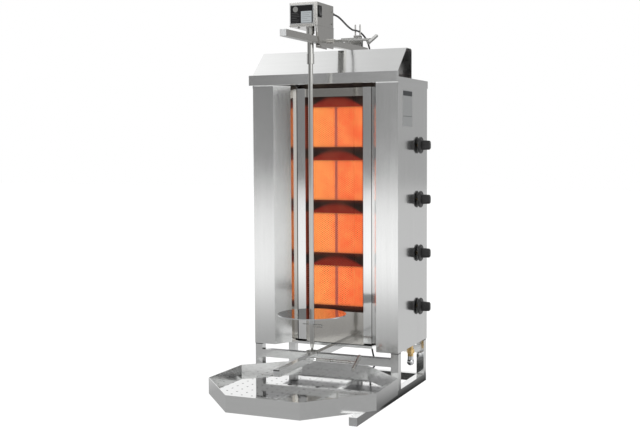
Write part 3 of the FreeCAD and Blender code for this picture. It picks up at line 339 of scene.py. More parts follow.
# metals of fittings and screws, and cast parts, share one recipe with their own colours
plainLooks = {
    "brass": {"dark": (0.52, 0.34, 0.13), "pale": (0.80, 0.58, 0.28), "metal": 1.0, "rough": (0.18, 0.36),
              "scale": 90.0, "grain": 320.0, "depth": 0.0002},
    "chromeFitting": {"dark": (0.62, 0.63, 0.65), "pale": (0.80, 0.81, 0.82), "metal": 1.0, "rough": (0.05, 0.16),
                      "scale": 60.0, "grain": 500.0, "depth": 0.0001},
    "zincScrew": {"dark": (0.30, 0.30, 0.29), "pale": (0.44, 0.44, 0.425), "metal": 1.0, "rough": (0.22, 0.42),
                  "scale": 160.0, "grain": 700.0, "depth": 0.0001},
    "castGrey": {"dark": (0.13, 0.13, 0.135), "pale": (0.23, 0.23, 0.235), "metal": 0.6, "rough": (0.45, 0.65),
                 "scale": 40.0, "grain": 420.0, "depth": 0.0006},
    "knobBlack": {"dark": (0.012, 0.012, 0.012), "pale": (0.030, 0.030, 0.031), "metal": 0.0, "rough": (0.30, 0.46),
                  "scale": 55.0, "grain": 1500.0, "depth": 0.0001},
    "plugBlack": {"dark": (0.014, 0.014, 0.014), "pale": (0.035, 0.035, 0.036), "metal": 0.0, "rough": (0.48, 0.66),
                  "scale": 70.0, "grain": 1100.0, "depth": 0.0002},
    "cordRubber": {"dark": (0.012, 0.012, 0.013), "pale": (0.028, 0.028, 0.029), "metal": 0.0, "rough": (0.42, 0.60),
                   "scale": 80.0, "grain": 900.0, "depth": 0.0002},
    "pointerWhite": {"dark": (0.70, 0.70, 0.68), "pale": (0.84, 0.84, 0.82), "metal": 0.0, "rough": (0.35, 0.5),
                     "scale": 90.0, "grain": 900.0, "depth": 0.0001},
    "weldBead": {"dark": (0.30, 0.29, 0.27), "pale": (0.52, 0.50, 0.46), "metal": 1.0, "rough": (0.28, 0.46),
                 "scale": 120.0, "grain": 600.0, "depth": 0.0003},
}


def plainFinish(name):
    material, tree, shader = startMaterial(name)
    look = plainLooks[name]
    place = objectPlace(tree)
    blotch = noise(tree, place, look["scale"], 4.0)
    grain = noise(tree, place, look["grain"], 2.0)
    base = blendColor(tree, spread(tree, blotch, 0.35, 0.65), color(*look["dark"]), color(*look["pale"]))
    tree.links.new(base, shader.inputs["Base Color"])
    low, high = look["rough"]
    tree.links.new(spread(tree, blotch, 0.3, 0.7, low, high), shader.inputs["Roughness"])
    shader.inputs["Metallic"].default_value = look["metal"]
    bump(tree, shader, grain, 0.25, look["depth"])
    return material


# printed plates: fields of one colour on another, as boxes (low corner, high corner, colour) and round spots
# (middle, radius, colour), in metres; their borders are soft over twice this distance
printedSoft = 0.0003


def printedPlate(name, ground, boxes, spots, metal, rough):
    material, tree, shader = startMaterial(name)
    place = objectPlace(tree)
    axes = axesOf(tree, place)
    wear = noise(tree, place, 60.0, 4.0)
    base = blendColor(tree, wear, toned(ground, 0.93), color(*ground))
    soft = printedSoft
    for low, high, ink in boxes:
        inside = 1.0
        for axis, start, end in zip("XYZ", low, high):
            rise = spread(tree, axes[axis], start - soft, start + soft)
            fall = spread(tree, axes[axis], end - soft, end + soft, 1.0, 0.0)
            inside = calc(tree, "MULTIPLY", inside, calc(tree, "MULTIPLY", rise, fall))
        base = blendColor(tree, inside, base, color(*ink))
    for middle, radius, ink in spots:
        away = addNode(tree, "VectorMath", {0: place, 1: middle}, "Value", operation="DISTANCE")
        inside = spread(tree, away, radius - soft, radius + soft, 1.0, 0.0)
        base = blendColor(tree, inside, base, color(*ink))
    tree.links.new(base, shader.inputs["Base Color"])
    tree.links.new(spread(tree, wear, 0.3, 0.7, rough - 0.05, rough + 0.08), shader.inputs["Roughness"])
    shader.inputs["Metallic"].default_value = metal
    shader.inputs["Specular IOR Level"].default_value = 0.2
    bump(tree, shader, wear, 0.05, 0.0001)
    return material


# plain fields of the label on the knob side: a header and a rule, inside a pale edge
sideLabelLook = {
    "ground": (0.50, 0.51, 0.51),
    "headerInk": (0.06, 0.065, 0.07),
    "ruleInk": (0.18, 0.19, 0.19),
    "edge": 0.003,
    "header": 0.018,
    "ruleRise": 0.031,
    "rule": 0.002,
}


def sideLabelPlate():
    low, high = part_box("side_label")
    look = sideLabelLook
    y0, y1 = low.y + look["edge"], high.y - look["edge"]
    rule = low.z + look["ruleRise"]
    fields = [
        ((low.x - 1.0, y0, high.z - look["header"]), (high.x + 1.0, y1, high.z - look["edge"]), look["headerInk"]),
        ((low.x - 1.0, y0, rule), (high.x + 1.0, y1, rule + look["rule"]), look["ruleInk"]),
    ]
    return printedPlate("sideLabelPlate", look["ground"], fields, [], 0.5, 0.38)


# plain fields of the motor's plate, from its lower left corner: a black field inside a rim, a pale field (low
# and high corner), rows of plain lines (start, height of the first line, step, lengths) and a round spot
motorPlateLook = {
    "ground": (0.62, 0.63, 0.63),
    "black": (0.008, 0.008, 0.009),
    "pale": (0.58, 0.62, 0.64),
    "line": (0.16, 0.16, 0.16),
    "spot": (0.30, 0.30, 0.29),
    "switch": (0.02, 0.02, 0.02),
    "size": (0.079, 0.059),
    "rim": 0.0024,
    "depth": 0.003,
    "paleField": ((0.0370, 0.0035), (0.0725, 0.0385)),
    "lineHeight": 0.0008,
    "lineRows": [(0.0060, 0.0330, 0.0052, (0.021, 0.024, 0.026, 0.017, 0.025, 0.023)),
                 (0.0405, 0.0325, 0.0058, (0.029, 0.024, 0.029, 0.018, 0.027))],
    "spotPlace": (0.0185, 0.0450),
    "spotRadius": 0.0085,
    "switchDepth": 0.004,
}


def motorPlate():
    low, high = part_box("case_trim")
    look = motorPlateLook
    left, bottom = low.x, low.z
    near, far = low.y - 1.0, low.y + look["depth"]
    rim = look["rim"]
    wide, tall = look["size"]
    (paleX0, paleZ0), (paleX1, paleZ1) = look["paleField"]
    fields = [
        ((left + rim, near, bottom + rim), (left + wide - rim, far, bottom + tall - rim), look["black"]),
        ((left + paleX0, near, bottom + paleZ0), (left + paleX1, far, bottom + paleZ1), look["pale"]),
        ((high.x - look["switchDepth"], -1.0, 0.0), (high.x + 1.0, 1.0, 2.0), look["switch"]),
    ]
    for start, first, step, lengths in look["lineRows"]:
        for row, length in enumerate(lengths):
            height = bottom + first - step * row
            fields.append(((left + start, near, height), (left + start + length, far, height + look["lineHeight"]),
                           look["line"]))
    spotX, spotZ = look["spotPlace"]
    spot = ((left + spotX, low.y + 0.0008, bottom + spotZ), look["spotRadius"], look["spot"])
    return printedPlate("motorPlate", look["ground"], fields, [spot], 0.05, 0.42)


def capsAndSpacers():
    # tube caps are steel coloured, the spacers between the posts and the cabinet are painted black, as black spacers
    # and as painted shade in the narrow gap
    material, tree, shader = startMaterial("capsAndSpacers")
    place = objectPlace(tree)
    height = axesOf(tree, place)["Z"]
    blotch = noise(tree, place, 60.0, 4.0)
    low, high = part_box("posts")[1].z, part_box("bottom_plate")[0].z
    above = spread(tree, height, low - printedSoft, low)
    spacerGapShade = calc(tree, "MULTIPLY", above, spread(tree, height, high, high + printedSoft, 1.0, 0.0))
    steel = blendColor(tree, blotch, color(0.60, 0.61, 0.61), color(0.72, 0.73, 0.73))
    tree.links.new(blendColor(tree, spacerGapShade, steel, color(0.02, 0.02, 0.02)), shader.inputs["Base Color"])
    tree.links.new(spread(tree, spacerGapShade, 0.0, 1.0, 0.9, 0.0), shader.inputs["Metallic"])
    tree.links.new(spread(tree, blotch, 0.3, 0.7, 0.30, 0.42), shader.inputs["Roughness"])
    return material


finishes = {
    "uprightSteel": brushedSteel("uprightSteel", 2),
    "lengthSteel": brushedSteel("lengthSteel", 1),
    "crossSteel": brushedSteel("crossSteel", 0),
    "motorSteel": brushedSteel("motorSteel", 2, (0.74, 0.725, 0.70), roughShift=0.03, underside=0.25),
    "backSteel": brushedSteel("backSteel", 2, (0.50, 0.49, 0.475), roughShift=0.03, underside=0.5),
    "shadedSteel": brushedSteel("shadedSteel", 1, (0.10, 0.10, 0.105), roughShift=0.16),
    "capsAndSpacers": capsAndSpacers(),
    "mirrorSteel": polishedSteel("mirrorSteel"),
    "warmSteel": polishedSteel("warmSteel", (0.70, 0.675, 0.64), rougher=0.05),
    "barSteel": polishedSteel("barSteel", (1.0, 1.0, 1.0), rougher=0.04),
    "discSteel": polishedSteel("discSteel", (0.60, 0.61, 0.62), rougher=0.02),
    "rodSteel": polishedSteel("rodSteel", (0.54, 0.535, 0.52), rougher=0.05),
    "probeSteel": tintedSteel("probeSteel", tintedLook, paintedArches=False),
    "heatTintedTileLitNet": tintedSteel("heatTintedTileLitNet", netLook, paintedArches=False),
    "tileLitFrame": tintedSteel("tileLitFrame", tintedLook, paintedArches=True),
    "glowingCeramic": glowingCeramic(),
    "sideLabelPlate": sideLabelPlate(),
    "motorPlate": motorPlate(),
}
for plainName in plainLooks:
    finishes[plainName] = plainFinish(plainName)

nodeFinishes = {
    "uprightSteel": ["posts", "wings", "cabinet_panels", "pole_straps", "lower_carriage"],
    "backSteel": ["rear_pole", "pole_clamp", "cable_fork"],
    "lengthSteel": ["base_rails", "lower_arm", "top_cover"],
    "crossSteel": ["cross_tubes", "fascia", "hood", "drip_tray"],
    "mirrorSteel": ["tray_insert_left", "tray_insert_right"],
    "barSteel": ["guard_bars"],
    "discSteel": ["meat_disc"],
    "rodSteel": ["spit_rod", "coupling_sleeve", "bearing_cup", "drive_shaft"],
    "warmSteel": ["reflector_panels"],
    "probeSteel": ["flame_probes"],
    "tileLitFrame": ["burner_frame"],
    "glowingCeramic": ["ceramic_tiles"],
    "brass": ["gas_manifold", "gas_valves", "gas_inlet", "valve_stem_1", "valve_stem_2", "valve_stem_3",
              "valve_stem_4"],
    "chromeFitting": ["inlet_elbow"],
    "knobBlack": ["rocker"],
    "capsAndSpacers": ["plugs_and_spacers"],
    "shadedSteel": ["bottom_plate"],
    "motorSteel": ["motor_case", "motor_bracket", "upper_arm"],
    "sideLabelPlate": ["side_label"],
    "motorPlate": ["case_trim"],
    "castGrey": ["burners", "gear_motor"],
    "zincScrew": ["upper_clamp_screw", "lower_clamp_screw", "pole_clamp_screw", "disc_pin", "motor_screws"],
}
for finishName, nodeNames in nodeFinishes.items():
    for nodeName in nodeNames:
        for slot in nodes[nodeName].material_slots:
            slot.material = finishes[finishName]
print("materials made")

# surfaces


def ringShell(rings):
    # rings (row, point, xyz) become a tube with capped ends: face (i, j) joins grid points (i, j), (i + 1, j),
    # (i + 1, j + 1) and (i, j + 1)
    rows, columns = rings.shape[:2]
    i, j = np.meshgrid(np.arange(rows - 1), np.arange(columns), indexing="ij")
    after = (j + 1) % columns
    corners = [i * columns + j, (i + 1) * columns + j, (i + 1) * columns + after, i * columns + after]
    faces = np.stack(corners, -1).reshape(-1, 4).tolist()
    faces += [list(range(columns)), list(range((rows - 1) * columns, rows * columns))]
    return rings.reshape(-1, 3), faces


def axisFrame(axis):
    axis = np.array(axis, float) / np.linalg.norm(axis)
    helper = np.array([0.0, 0.0, 1.0]) if abs(axis[2]) < 0.9 else np.array([1.0, 0.0, 0.0])
    side = np.cross(helper, axis)
    side /= np.linalg.norm(side)
    return axis, side, np.cross(axis, side)


def turnedShell(profile, centre, axis, count=32, flutes=0, fluteDepth=0.0):
    # point(s, t) = centre + along(s) axis + radius(s) (1 - depth cos(flutes t)) (cos t side + sin t up)
    axis, side, up = axisFrame(axis)
    along, radius = np.array(profile, float).T
    t = np.linspace(0.0, 2 * np.pi, count, endpoint=False)
    wave = 1.0 - fluteDepth * (np.cos(flutes * t) if flutes else np.zeros(count))
    circle = (np.cos(t) * wave)[:, None] * side + (np.sin(t) * wave)[:, None] * up
    rings = np.array(centre) + along[:, None, None] * axis + radius[:, None, None] * circle[None]
    return ringShell(rings)


def squaredShell(stations, centre, axis, power, count=40):
    # point(s, t) = centre + along(s) axis + wide(s) c(t) side + high(s) d(t) up, where c and d are the cosine
    # and sine of t with their size raised to 2 / power, which squares the circle
    axis, side, up = axisFrame(axis)
    along, wide, high = np.array(stations, float).T
    t = np.linspace(0.0, 2 * np.pi, count, endpoint=False)
    c = np.sign(np.cos(t)) * np.abs(np.cos(t)) ** (2 / power)
    d = np.sign(np.sin(t)) * np.abs(np.sin(t)) ** (2 / power)
    across = wide[:, None, None] * (c[:, None] * side)[None] + high[:, None, None] * (d[:, None] * up)[None]
    return ringShell(np.array(centre) + along[:, None, None] * axis + across)


def crossHead(centre, axis, radius, height):
    # dome: h (1 - 0.7 r r), with a cross cut where |x| < w and |y| < l or the other way round
    axis, side, up = axisFrame(axis)
    count, rows = 32, 14
    r = np.concatenate([[1.0], np.linspace(0.97, 0.0, rows)])
    t = np.linspace(0.0, 2 * np.pi, count, endpoint=False)
    x, y = r[:, None] * np.cos(t), r[:, None] * np.sin(t)
    lift = height * (1.0 - 0.7 * r[:, None] ** 2) * np.ones(count)
    lift[0] = 0.0
    arm, half = 0.60, 0.13
    cut = ((np.abs(x) < half) & (np.abs(y) < arm)) | ((np.abs(y) < half) & (np.abs(x) < arm))
    lift = np.where(cut, lift - height * 0.45, lift)
    rings = np.array(centre) + radius * (x[..., None] * side + y[..., None] * up) + lift[..., None] * axis
    return ringShell(rings)


def makePiece(name, shells, finish, body, sharp=38.0):
    points, faces, start = [], [], 0
    for shellPoints, shellFaces in shells:
        points.append(shellPoints)
        faces += [[index + start for index in face] for face in shellFaces]
        start += len(shellPoints)
    mesh = bpy.data.meshes.new(name)
    mesh.from_pydata(np.concatenate(points).tolist(), [], faces)
    cleaned = bmesh.new()
    cleaned.from_mesh(mesh)
    bmesh.ops.remove_doubles(cleaned, verts=cleaned.verts, dist=1e-6)
    bmesh.ops.recalc_face_normals(cleaned, faces=cleaned.faces)
    cleaned.to_mesh(mesh)
    cleaned.free()
    mesh.shade_smooth()
    mesh.set_sharp_from_angle(angle=math.radians(sharp))
    mesh.materials.append(finishes[finish])
    piece = bpy.data.objects.new(name, mesh)
    bpy.context.collection.objects.link(piece)
    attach(piece, body)
    return piece


# cord: out of the motor, over the fork behind the hood, down the pole, and the rest coiled behind the cabinet
cordSettings = {
    "radius": 0.003,
    "coilCentre": (-0.0100, 0.3205),
    "coilRadius": 0.036,
    "coilPitch": 0.0078,
    "coilLayer": 0.0068,
    "coilTurns": 1.5,
    "pointsPerTurn": 16,
    "length": 2.19,
}
# middle line of the free cord, from the motor's case to the floor
cordRoute = [
    (0.0280, 0.0065, 1.2060), (0.0280, 0.0205, 1.2060), (0.0290, 0.0525, 1.2010), (0.0250, 0.0980, 1.1920),
    (0.0180, 0.1420, 1.1860), (0.0110, 0.1880, 1.1820), (0.0030, 0.2320, 1.1810), (-0.0020, 0.2680, 1.1840),
    (-0.0020, 0.2940, 1.1840), (0.0050, 0.3110, 1.1770), (0.0170, 0.3160, 1.1610), (0.0280, 0.3170, 1.1380),
    (0.0340, 0.3170, 1.1060), (0.0350, 0.3160, 1.0520), (0.0320, 0.3135, 0.9750), (0.0305, 0.3115, 0.8950),
    (0.0295, 0.3100, 0.8120), (0.0290, 0.3088, 0.7300), (0.0290, 0.3080, 0.6480), (0.0294, 0.3074, 0.5650),
    (0.0302, 0.3070, 0.4800), (0.0310, 0.3068, 0.3950), (0.0315, 0.3070, 0.3100), (0.0320, 0.3076, 0.2250),
    (0.0330, 0.3090, 0.1600), (0.0350, 0.3130, 0.1100), (0.0380, 0.3210, 0.0720), (0.0410, 0.3320, 0.0420),
    (0.0390, 0.3430, 0.0200), (0.0310, 0.3505, 0.0090), (0.0200, 0.3550, 0.0042), (0.0050, 0.3565, 0.0030),
]


def coilPoints():
    # spirals in on the floor, climbs one cord in half a turn, and spirals out on top
    settings = cordSettings
    turns = settings["coilTurns"]
    total = 2 * turns + 0.5
    points = []
    for step in range(int(total * settings["pointsPerTurn"]) + 1):
        t = step / settings["pointsPerTurn"]
        climb = min(max((t - turns) / 0.5, 0.0), 1.0)
        shrink = min(t, turns) - max(t - turns - 0.5, 0.0)
        radius = settings["coilRadius"] - settings["coilPitch"] * shrink
        angle = 2 * math.pi * t + math.pi / 2
        points.append((settings["coilCentre"][0] + radius * math.cos(angle),
                       settings["coilCentre"][1] + radius * math.sin(angle),
                       settings["radius"] + settings["coilLayer"] * (0.5 - 0.5 * math.cos(math.pi * climb))))
    return points


def cordCurve(name, points, thick):
    curve = bpy.data.curves.new(name, "CURVE")
    curve.dimensions = "3D"
    spline = curve.splines.new("NURBS")
    spline.points.add(len(points) - 1)
    flat = np.ones((len(points), 4))
    flat[:, :3] = points
    spline.points.foreach_set("co", flat.ravel())
    spline.order_u = 3
    spline.use_endpoint_u = True
    spline.resolution_u = 8
    curve.bevel_depth = thick
    curve.bevel_resolution = 5
    curve.use_fill_caps = thick > 0
    holder = bpy.data.objects.new(name, curve)
    bpy.context.collection.objects.link(holder)
    bpy.context.view_layer.update()
    mesh = bpy.data.meshes.new_from_object(holder.evaluated_get(bpy.context.evaluated_depsgraph_get()))
    bpy.data.objects.remove(holder)
    return mesh


plugLow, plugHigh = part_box("plug")
plugMiddle = ((plugLow.y + plugHigh.y) / 2, (plugLow.z + plugHigh.z) / 2)
plugShape = {"tail": 0.026, "body": 0.036, "wide": 0.0130, "high": 0.0098, "neck": 0.0062, "heel": 0.0064,
             "pinRadius": 0.0024, "pinSpread": 0.0095, "pinLength": 0.019, "pinRoot": 0.002, "cordRoom": 0.0034,
             "ribs": 6, "ribDepth": 0.00045}


def plugStations():
    # the tail swells from the cord to the body and carries shallow ribs, then the body rounds off at its ends
    shape = plugShape
    s = np.linspace(0.0, 1.0, 6 * shape["ribs"] + 1)
    swell = shape["cordRoom"] + (shape["neck"] - shape["cordRoom"]) * s ** 1.5
    tail = swell + shape["ribDepth"] * np.cos(2 * np.pi * shape["ribs"] * s)
    stations = [(along * shape["tail"], size, size) for along, size in zip(s, tail)]
    u = np.linspace(0.0, 1.0, 22)
    front = np.clip(u / 0.42, 0.0, 1.0)
    full = np.sin(np.pi / 2 * front) ** 0.8
    back = np.sqrt(np.clip(1.0 - np.clip((u - 0.93) / 0.07, 0.0, 1.0) ** 2 * 0.35, 0.0, 1.0))
    wide = (shape["heel"] + (shape["wide"] - shape["heel"]) * full) * back
    high = (shape["heel"] + (shape["high"] - shape["heel"]) * full) * back
    stations += [(shape["tail"] + along * shape["body"], w, h) for along, w, h in zip(u, wide, high)]
    return stations


def makePlug():
    start = (plugLow.x, plugMiddle[0], plugMiddle[1])
    body = makePiece("plugBody", [squaredShell(plugStations(), start, (1, 0, 0), 2.5)], "plugBlack",
                     "root")
    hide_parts("plug")
    shape = plugShape
    root, radius, length = shape["pinRoot"], shape["pinRadius"], shape["pinLength"]
    profile = [(-root, 0.0), (-root, radius), (length - 0.0015, radius), (length - 0.0004, radius - 0.0007),
               (length, 0.0)]
    pins = []
    for side in (-1, 1):
        centre = (plugLow.x + shape["tail"] + shape["body"], plugMiddle[0] + side * shape["pinSpread"], plugMiddle[1])
        pins.append(turnedShell(profile, centre, (1, 0, 0), 20))
    return body, makePiece("plugPins", pins, "chromeFitting", "root")


def makeCord():
    ending = [(plugLow.x + 0.008, plugMiddle[0], plugMiddle[1])]
    points = cordRoute + coilPoints() + ending
    line = cordCurve("cordLine", points, 0.0)
    path = np.zeros(len(line.vertices) * 3)
    line.vertices.foreach_get("co", path)
    tube = cordCurve("cordTube", points, cordSettings["radius"])
    tube.shade_smooth()
    tube.materials.clear()
    tube.materials.append(finishes["cordRubber"])
    piece = bpy.data.objects.new("motorCord", tube)
    bpy.context.collection.objects.link(piece)
    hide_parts("cord_free", "cord_coil")
    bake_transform(piece)
    return piece, path.reshape(-1, 3)


plugBody, plugPins = makePlug()
motorCord, cordPath = makeCord()
print("cord made, length", round(float(np.linalg.norm(np.diff(cordPath, axis=0), axis=1).sum()), 4))

# strain relief where the cord leaves the motor case: a flange, then a taper with ribs
reliefShape = {"flange": 0.0045, "ribs": 6, "ribDepth": 0.0005, "cordRoom": 0.0036}


def makeRelief():
    low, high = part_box("cable_gland")
    radius = (high.x - low.x) / 2
    length = high.y - low.y
    s = np.linspace(0.0, 1.0, 6 * reliefShape["ribs"] + 1)
    taper = radius * 0.86 + (reliefShape["cordRoom"] - radius * 0.86) * s
    ribbed = taper + reliefShape["ribDepth"] * np.cos(2 * np.pi * reliefShape["ribs"] * s) * (1 - s * 0.6)
    along = reliefShape["flange"] + s * (length - reliefShape["flange"])
    profile = [(0.0, 0.0), (0.0, radius), (reliefShape["flange"] - 0.0008, radius),
               (reliefShape["flange"], radius * 0.9)] + list(zip(along, ribbed)) + [(length, 0.0)]
    centre = ((low.x + high.x) / 2, low.y, (low.z + high.z) / 2)
    piece = makePiece("cordRelief", [turnedShell(profile, centre, (0, 1, 0), 28)], "plugBlack",
                      "upper_carriage")
    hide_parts("cable_gland")


makeRelief()

# net before the burners: strand k zigzags, x = pitch (k + 1/2 + 1/2 (-1)^(j + k)) at row j
netShape = {"columns": 38, "rowHeight": 0.0033, "strand": 0.0021, "deep": 0.0008, "edge": 0.0018, "shrink": 0.998,
            "inset": 0.0002}


def makeNet():
    low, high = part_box("guard_mesh")
    count = netShape["columns"]
    rows = int((high.z - low.z) / netShape["rowHeight"]) + 1
    pitch = (high.x - low.x) / count
    k, j = np.meshgrid(np.arange(count), np.arange(rows), indexing="ij")
    zigzag = k + 0.5 + 0.5 * (-1.0) ** (j + k)
    x = low.x + pitch * zigzag * netShape["shrink"] + netShape["inset"]
    z = low.z + (high.z - low.z) * j / (rows - 1)
    mid = (low.y + high.y) / 2
    y = np.full(x.shape, mid)
    half, deep = netShape["strand"] / 2, netShape["deep"] / 2
    sides = np.array([(-half, -deep, 0.0), (half, -deep, 0.0), (half, deep, 0.0), (-half, deep, 0.0)])
    rings = np.stack([x, y, z], -1)[:, :, None, :] + sides
    shells = [ringShell(strandRings) for strandRings in rings]
    edge = netShape["edge"]
    for x0, x1, z0, z1 in ((low.x, high.x, low.z, low.z + edge), (low.x, high.x, high.z - edge, high.z),
                           (low.x, low.x + edge, low.z, high.z), (high.x - edge, high.x, low.z, high.z)):
        corners = np.array([[(x0, mid - deep, z), (x1, mid - deep, z), (x1, mid + deep, z), (x0, mid + deep, z)]
                            for z in (z0, z1)])
        shells.append(ringShell(corners))
    net = makePiece("burnerNet", shells, "heatTintedTileLitNet", "root", 20.0)
    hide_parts("guard_mesh")


makeNet()
print("net made")

# gas knobs: a skirt with a rolled edge, and a bar grip that narrows and rounds towards its end
knobShape = {"skirt": 0.0065, "gripWide": 0.0082, "gripHigh": 0.0163, "count": 4, "markFrom": 0.35, "markTo": 0.80,
             "markWide": 0.0014, "markLift": 0.0006, "markRoot": 0.0004}


def makeKnob(index):
    low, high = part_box(f"knob_{index}")
    centre = (low.x, (low.y + high.y) / 2, (low.z + high.z) / 2)
    radius = (high.z - low.z) / 2
    skirt = knobShape["skirt"]
    length = high.x - low.x
    profile = [(0.0, 0.0), (0.0, radius - 0.0012), (0.0006, radius - 0.0003), (0.0016, radius),
               (skirt - 0.0034, radius), (skirt - 0.0014, radius - 0.0008), (skirt - 0.0003, radius - 0.0026),
               (skirt, radius - 0.0048), (skirt - 0.0006, radius * 0.70), (skirt + 0.0004, radius * 0.64),
               (skirt + 0.0012, radius * 0.60), (skirt + 0.0012, 0.0)]
    s = np.linspace(0.0, 1.0, 14)
    ends = np.sqrt(1.0 - np.clip((s - 0.86) / 0.14, 0.0, 1.0) ** 2 * 0.42)
    narrow = 1.0 - 0.10 * s
    stations = np.stack([skirt + (length - skirt) * s, knobShape["gripWide"] * narrow * ends,
                         knobShape["gripHigh"] * narrow * ends], -1)
    shells = [turnedShell(profile, centre, (1, 0, 0), 48, 24, 0.004), squaredShell(stations, centre, (1, 0, 0), 3.6)]
    knob = makePiece(f"gasKnob{index}", shells, "knobBlack", f"knob_{index}")
    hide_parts(f"knob_{index}")
    # the pointer line on the grip's end
    z0, z1 = (centre[2] + knobShape["gripHigh"] * knobShape[key] for key in ("markFrom", "markTo"))
    y0, y1 = centre[1] - knobShape["markWide"] / 2, centre[1] + knobShape["markWide"] / 2
    tip = high.x - knobShape["markRoot"]
    lineRings = np.array([[(x, y0, z0), (x, y1, z0), (x, y1, z1), (x, y0, z1)]
                          for x in (tip, tip + knobShape["markLift"])])
    makePiece(f"knobMark{index}", [ringShell(lineRings)], "pointerWhite", f"knob_{index}")


for knobIndex in range(1, knobShape["count"] + 1):
    makeKnob(knobIndex)
print("knobs made")

# screws of the back sheet
panelScrews = {"radius": 0.0042, "height": 0.0024, "inner": 0.0828, "inset": 0.004}


def makePanelScrews():
    low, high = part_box("panel_screws")
    inset = panelScrews["inset"]
    heads = []
    for x in (low.x + inset, -panelScrews["inner"], panelScrews["inner"], high.x - inset):
        for z in (low.z + inset, high.z - inset):
            heads.append(crossHead((x, low.y, z), (0, 1, 0), panelScrews["radius"], panelScrews["height"]))
    piece = makePiece("backScrews", heads, "zincScrew", "root", 25.0)
    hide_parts("panel_screws")


makePanelScrews()

# weld beads: a tube whose radius ripples as it runs, r (1 + depth sin(2 pi n s))
weldShape = {"radius": 0.0016, "ripple": 0.0021, "depth": 0.18, "tube": 0.025, "inset": 0.0015, "lift": 1.25}


def weldBead(start, end):
    start, end = np.array(start), np.array(end)
    axis, side, up = axisFrame(end - start)
    length = np.linalg.norm(end - start)
    s = np.linspace(0.0, 1.0, max(int(length / weldShape["ripple"] * 4), 8))
    closing = np.sqrt(np.clip(1.0 - (2 * s - 1.0) ** 8, 0.02, 1.0))
    wave = 1 + weldShape["depth"] * np.sin(2 * np.pi * s * length / weldShape["ripple"])
    radius = weldShape["radius"] * wave * closing
    t = np.linspace(0.0, 2 * np.pi, 10, endpoint=False)
    circle = np.cos(t)[:, None] * side + np.sin(t)[:, None] * up
    rings = start + (s * length)[:, None, None] * axis + radius[:, None, None] * circle[None]
    return ringShell(rings)


def makeWelds():
    low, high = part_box("posts")
    size, inset = weldShape["tube"], weldShape["inset"]
    railTop = low.z
    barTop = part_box("cross_tubes")[1].z
    beads = []
    for x0 in (low.x, high.x - size):
        for y0 in (low.y, high.y - size):
            for y in (y0, y0 + size):
                beads.append(weldBead((x0 + inset, y, railTop), (x0 + size - inset, y, railTop)))
            inner = x0 + size if x0 < 0 else x0
            for z in (barTop - size, barTop):
                beads.append(weldBead((inner, y0 + inset, z), (inner, y0 + size - inset, z)))
            for z in (weldShape["radius"] * weldShape["lift"], size):
                beads.append(weldBead((inner, y0 + inset, z), (inner, y0 + size - inset, z)))
    makePiece("frameWelds", beads, "weldBead", "root", 60.0)


makeWelds()
print("screws and welds made")

# floor, world and lamps: metal sees the floor with painted shade near the grill's front, and a painted shadow under
# the cabinet
studio = {
    "floorSize": 30.0,
    "floorGlow": 1.0,
    "floorTone": 0.10,
    "bounceTone": 0.70,
    "nearShadeGlow": 0.36,
    "nearReach": (0.8, 3.5),
    "nearFront": (0.4, -0.2),
    "underGlow": 0.06,
    "under": (-0.30, 0.30, -0.16, 0.42),
    "underSoft": 0.06,
    "lampSize": 2.6,
    "lamps": [((-2.4, -3.2, 3.0), 42.0), ((3.0, -1.6, 2.4), 24.0), ((0.4, 1.8, 3.2), 20.0)],
    "aim": (0.0, 0.0, 0.6),
}

# what metal sees of the room, by direction: each lobe (direction, low, high, amount) adds its amount where the
# cosine to its direction runs from low to high; the wall gives way to the top over topRise
roomLook = {
    "diffuse": 0.50,
    "wall": 0.70,
    "overhead": 0.62,
    "topRise": (0.30, 0.62),
    "wallLobes": [((-0.60, -0.80, 0.0), 0.82, 1.00, -0.50), ((0.40, 0.92, 0.0), 0.72, 0.98, -0.34),
                  ((-0.50, 0.87, 0.0), 0.60, 0.95, 0.26), ((1.0, 0.0, 0.0), 0.80, 0.98, 0.26)],
    "topLobes": [((-0.60, 0.14, 0.79), 0.955, 0.995, 0.50)],
    "floorFar": 1.12,
    "floorLobes": [((-0.47, -0.883, 0.0), 0.985, 0.999, -0.20), ((0.40, 0.92, 0.0), 0.72, 0.98, -0.54),
                   ((0.95, -0.26, -0.15), 0.70, 0.98, -0.06)],
}


def roomLight(tree, way, start, lobes):
    total = start
    for toward, low, high, amount in lobes:
        facing = addNode(tree, "VectorMath", {0: way, 1: toward}, "Value", operation="DOT_PRODUCT")
        total = calc(tree, "ADD", total, spread(tree, facing, low, high, 0.0, amount, True))
    return total


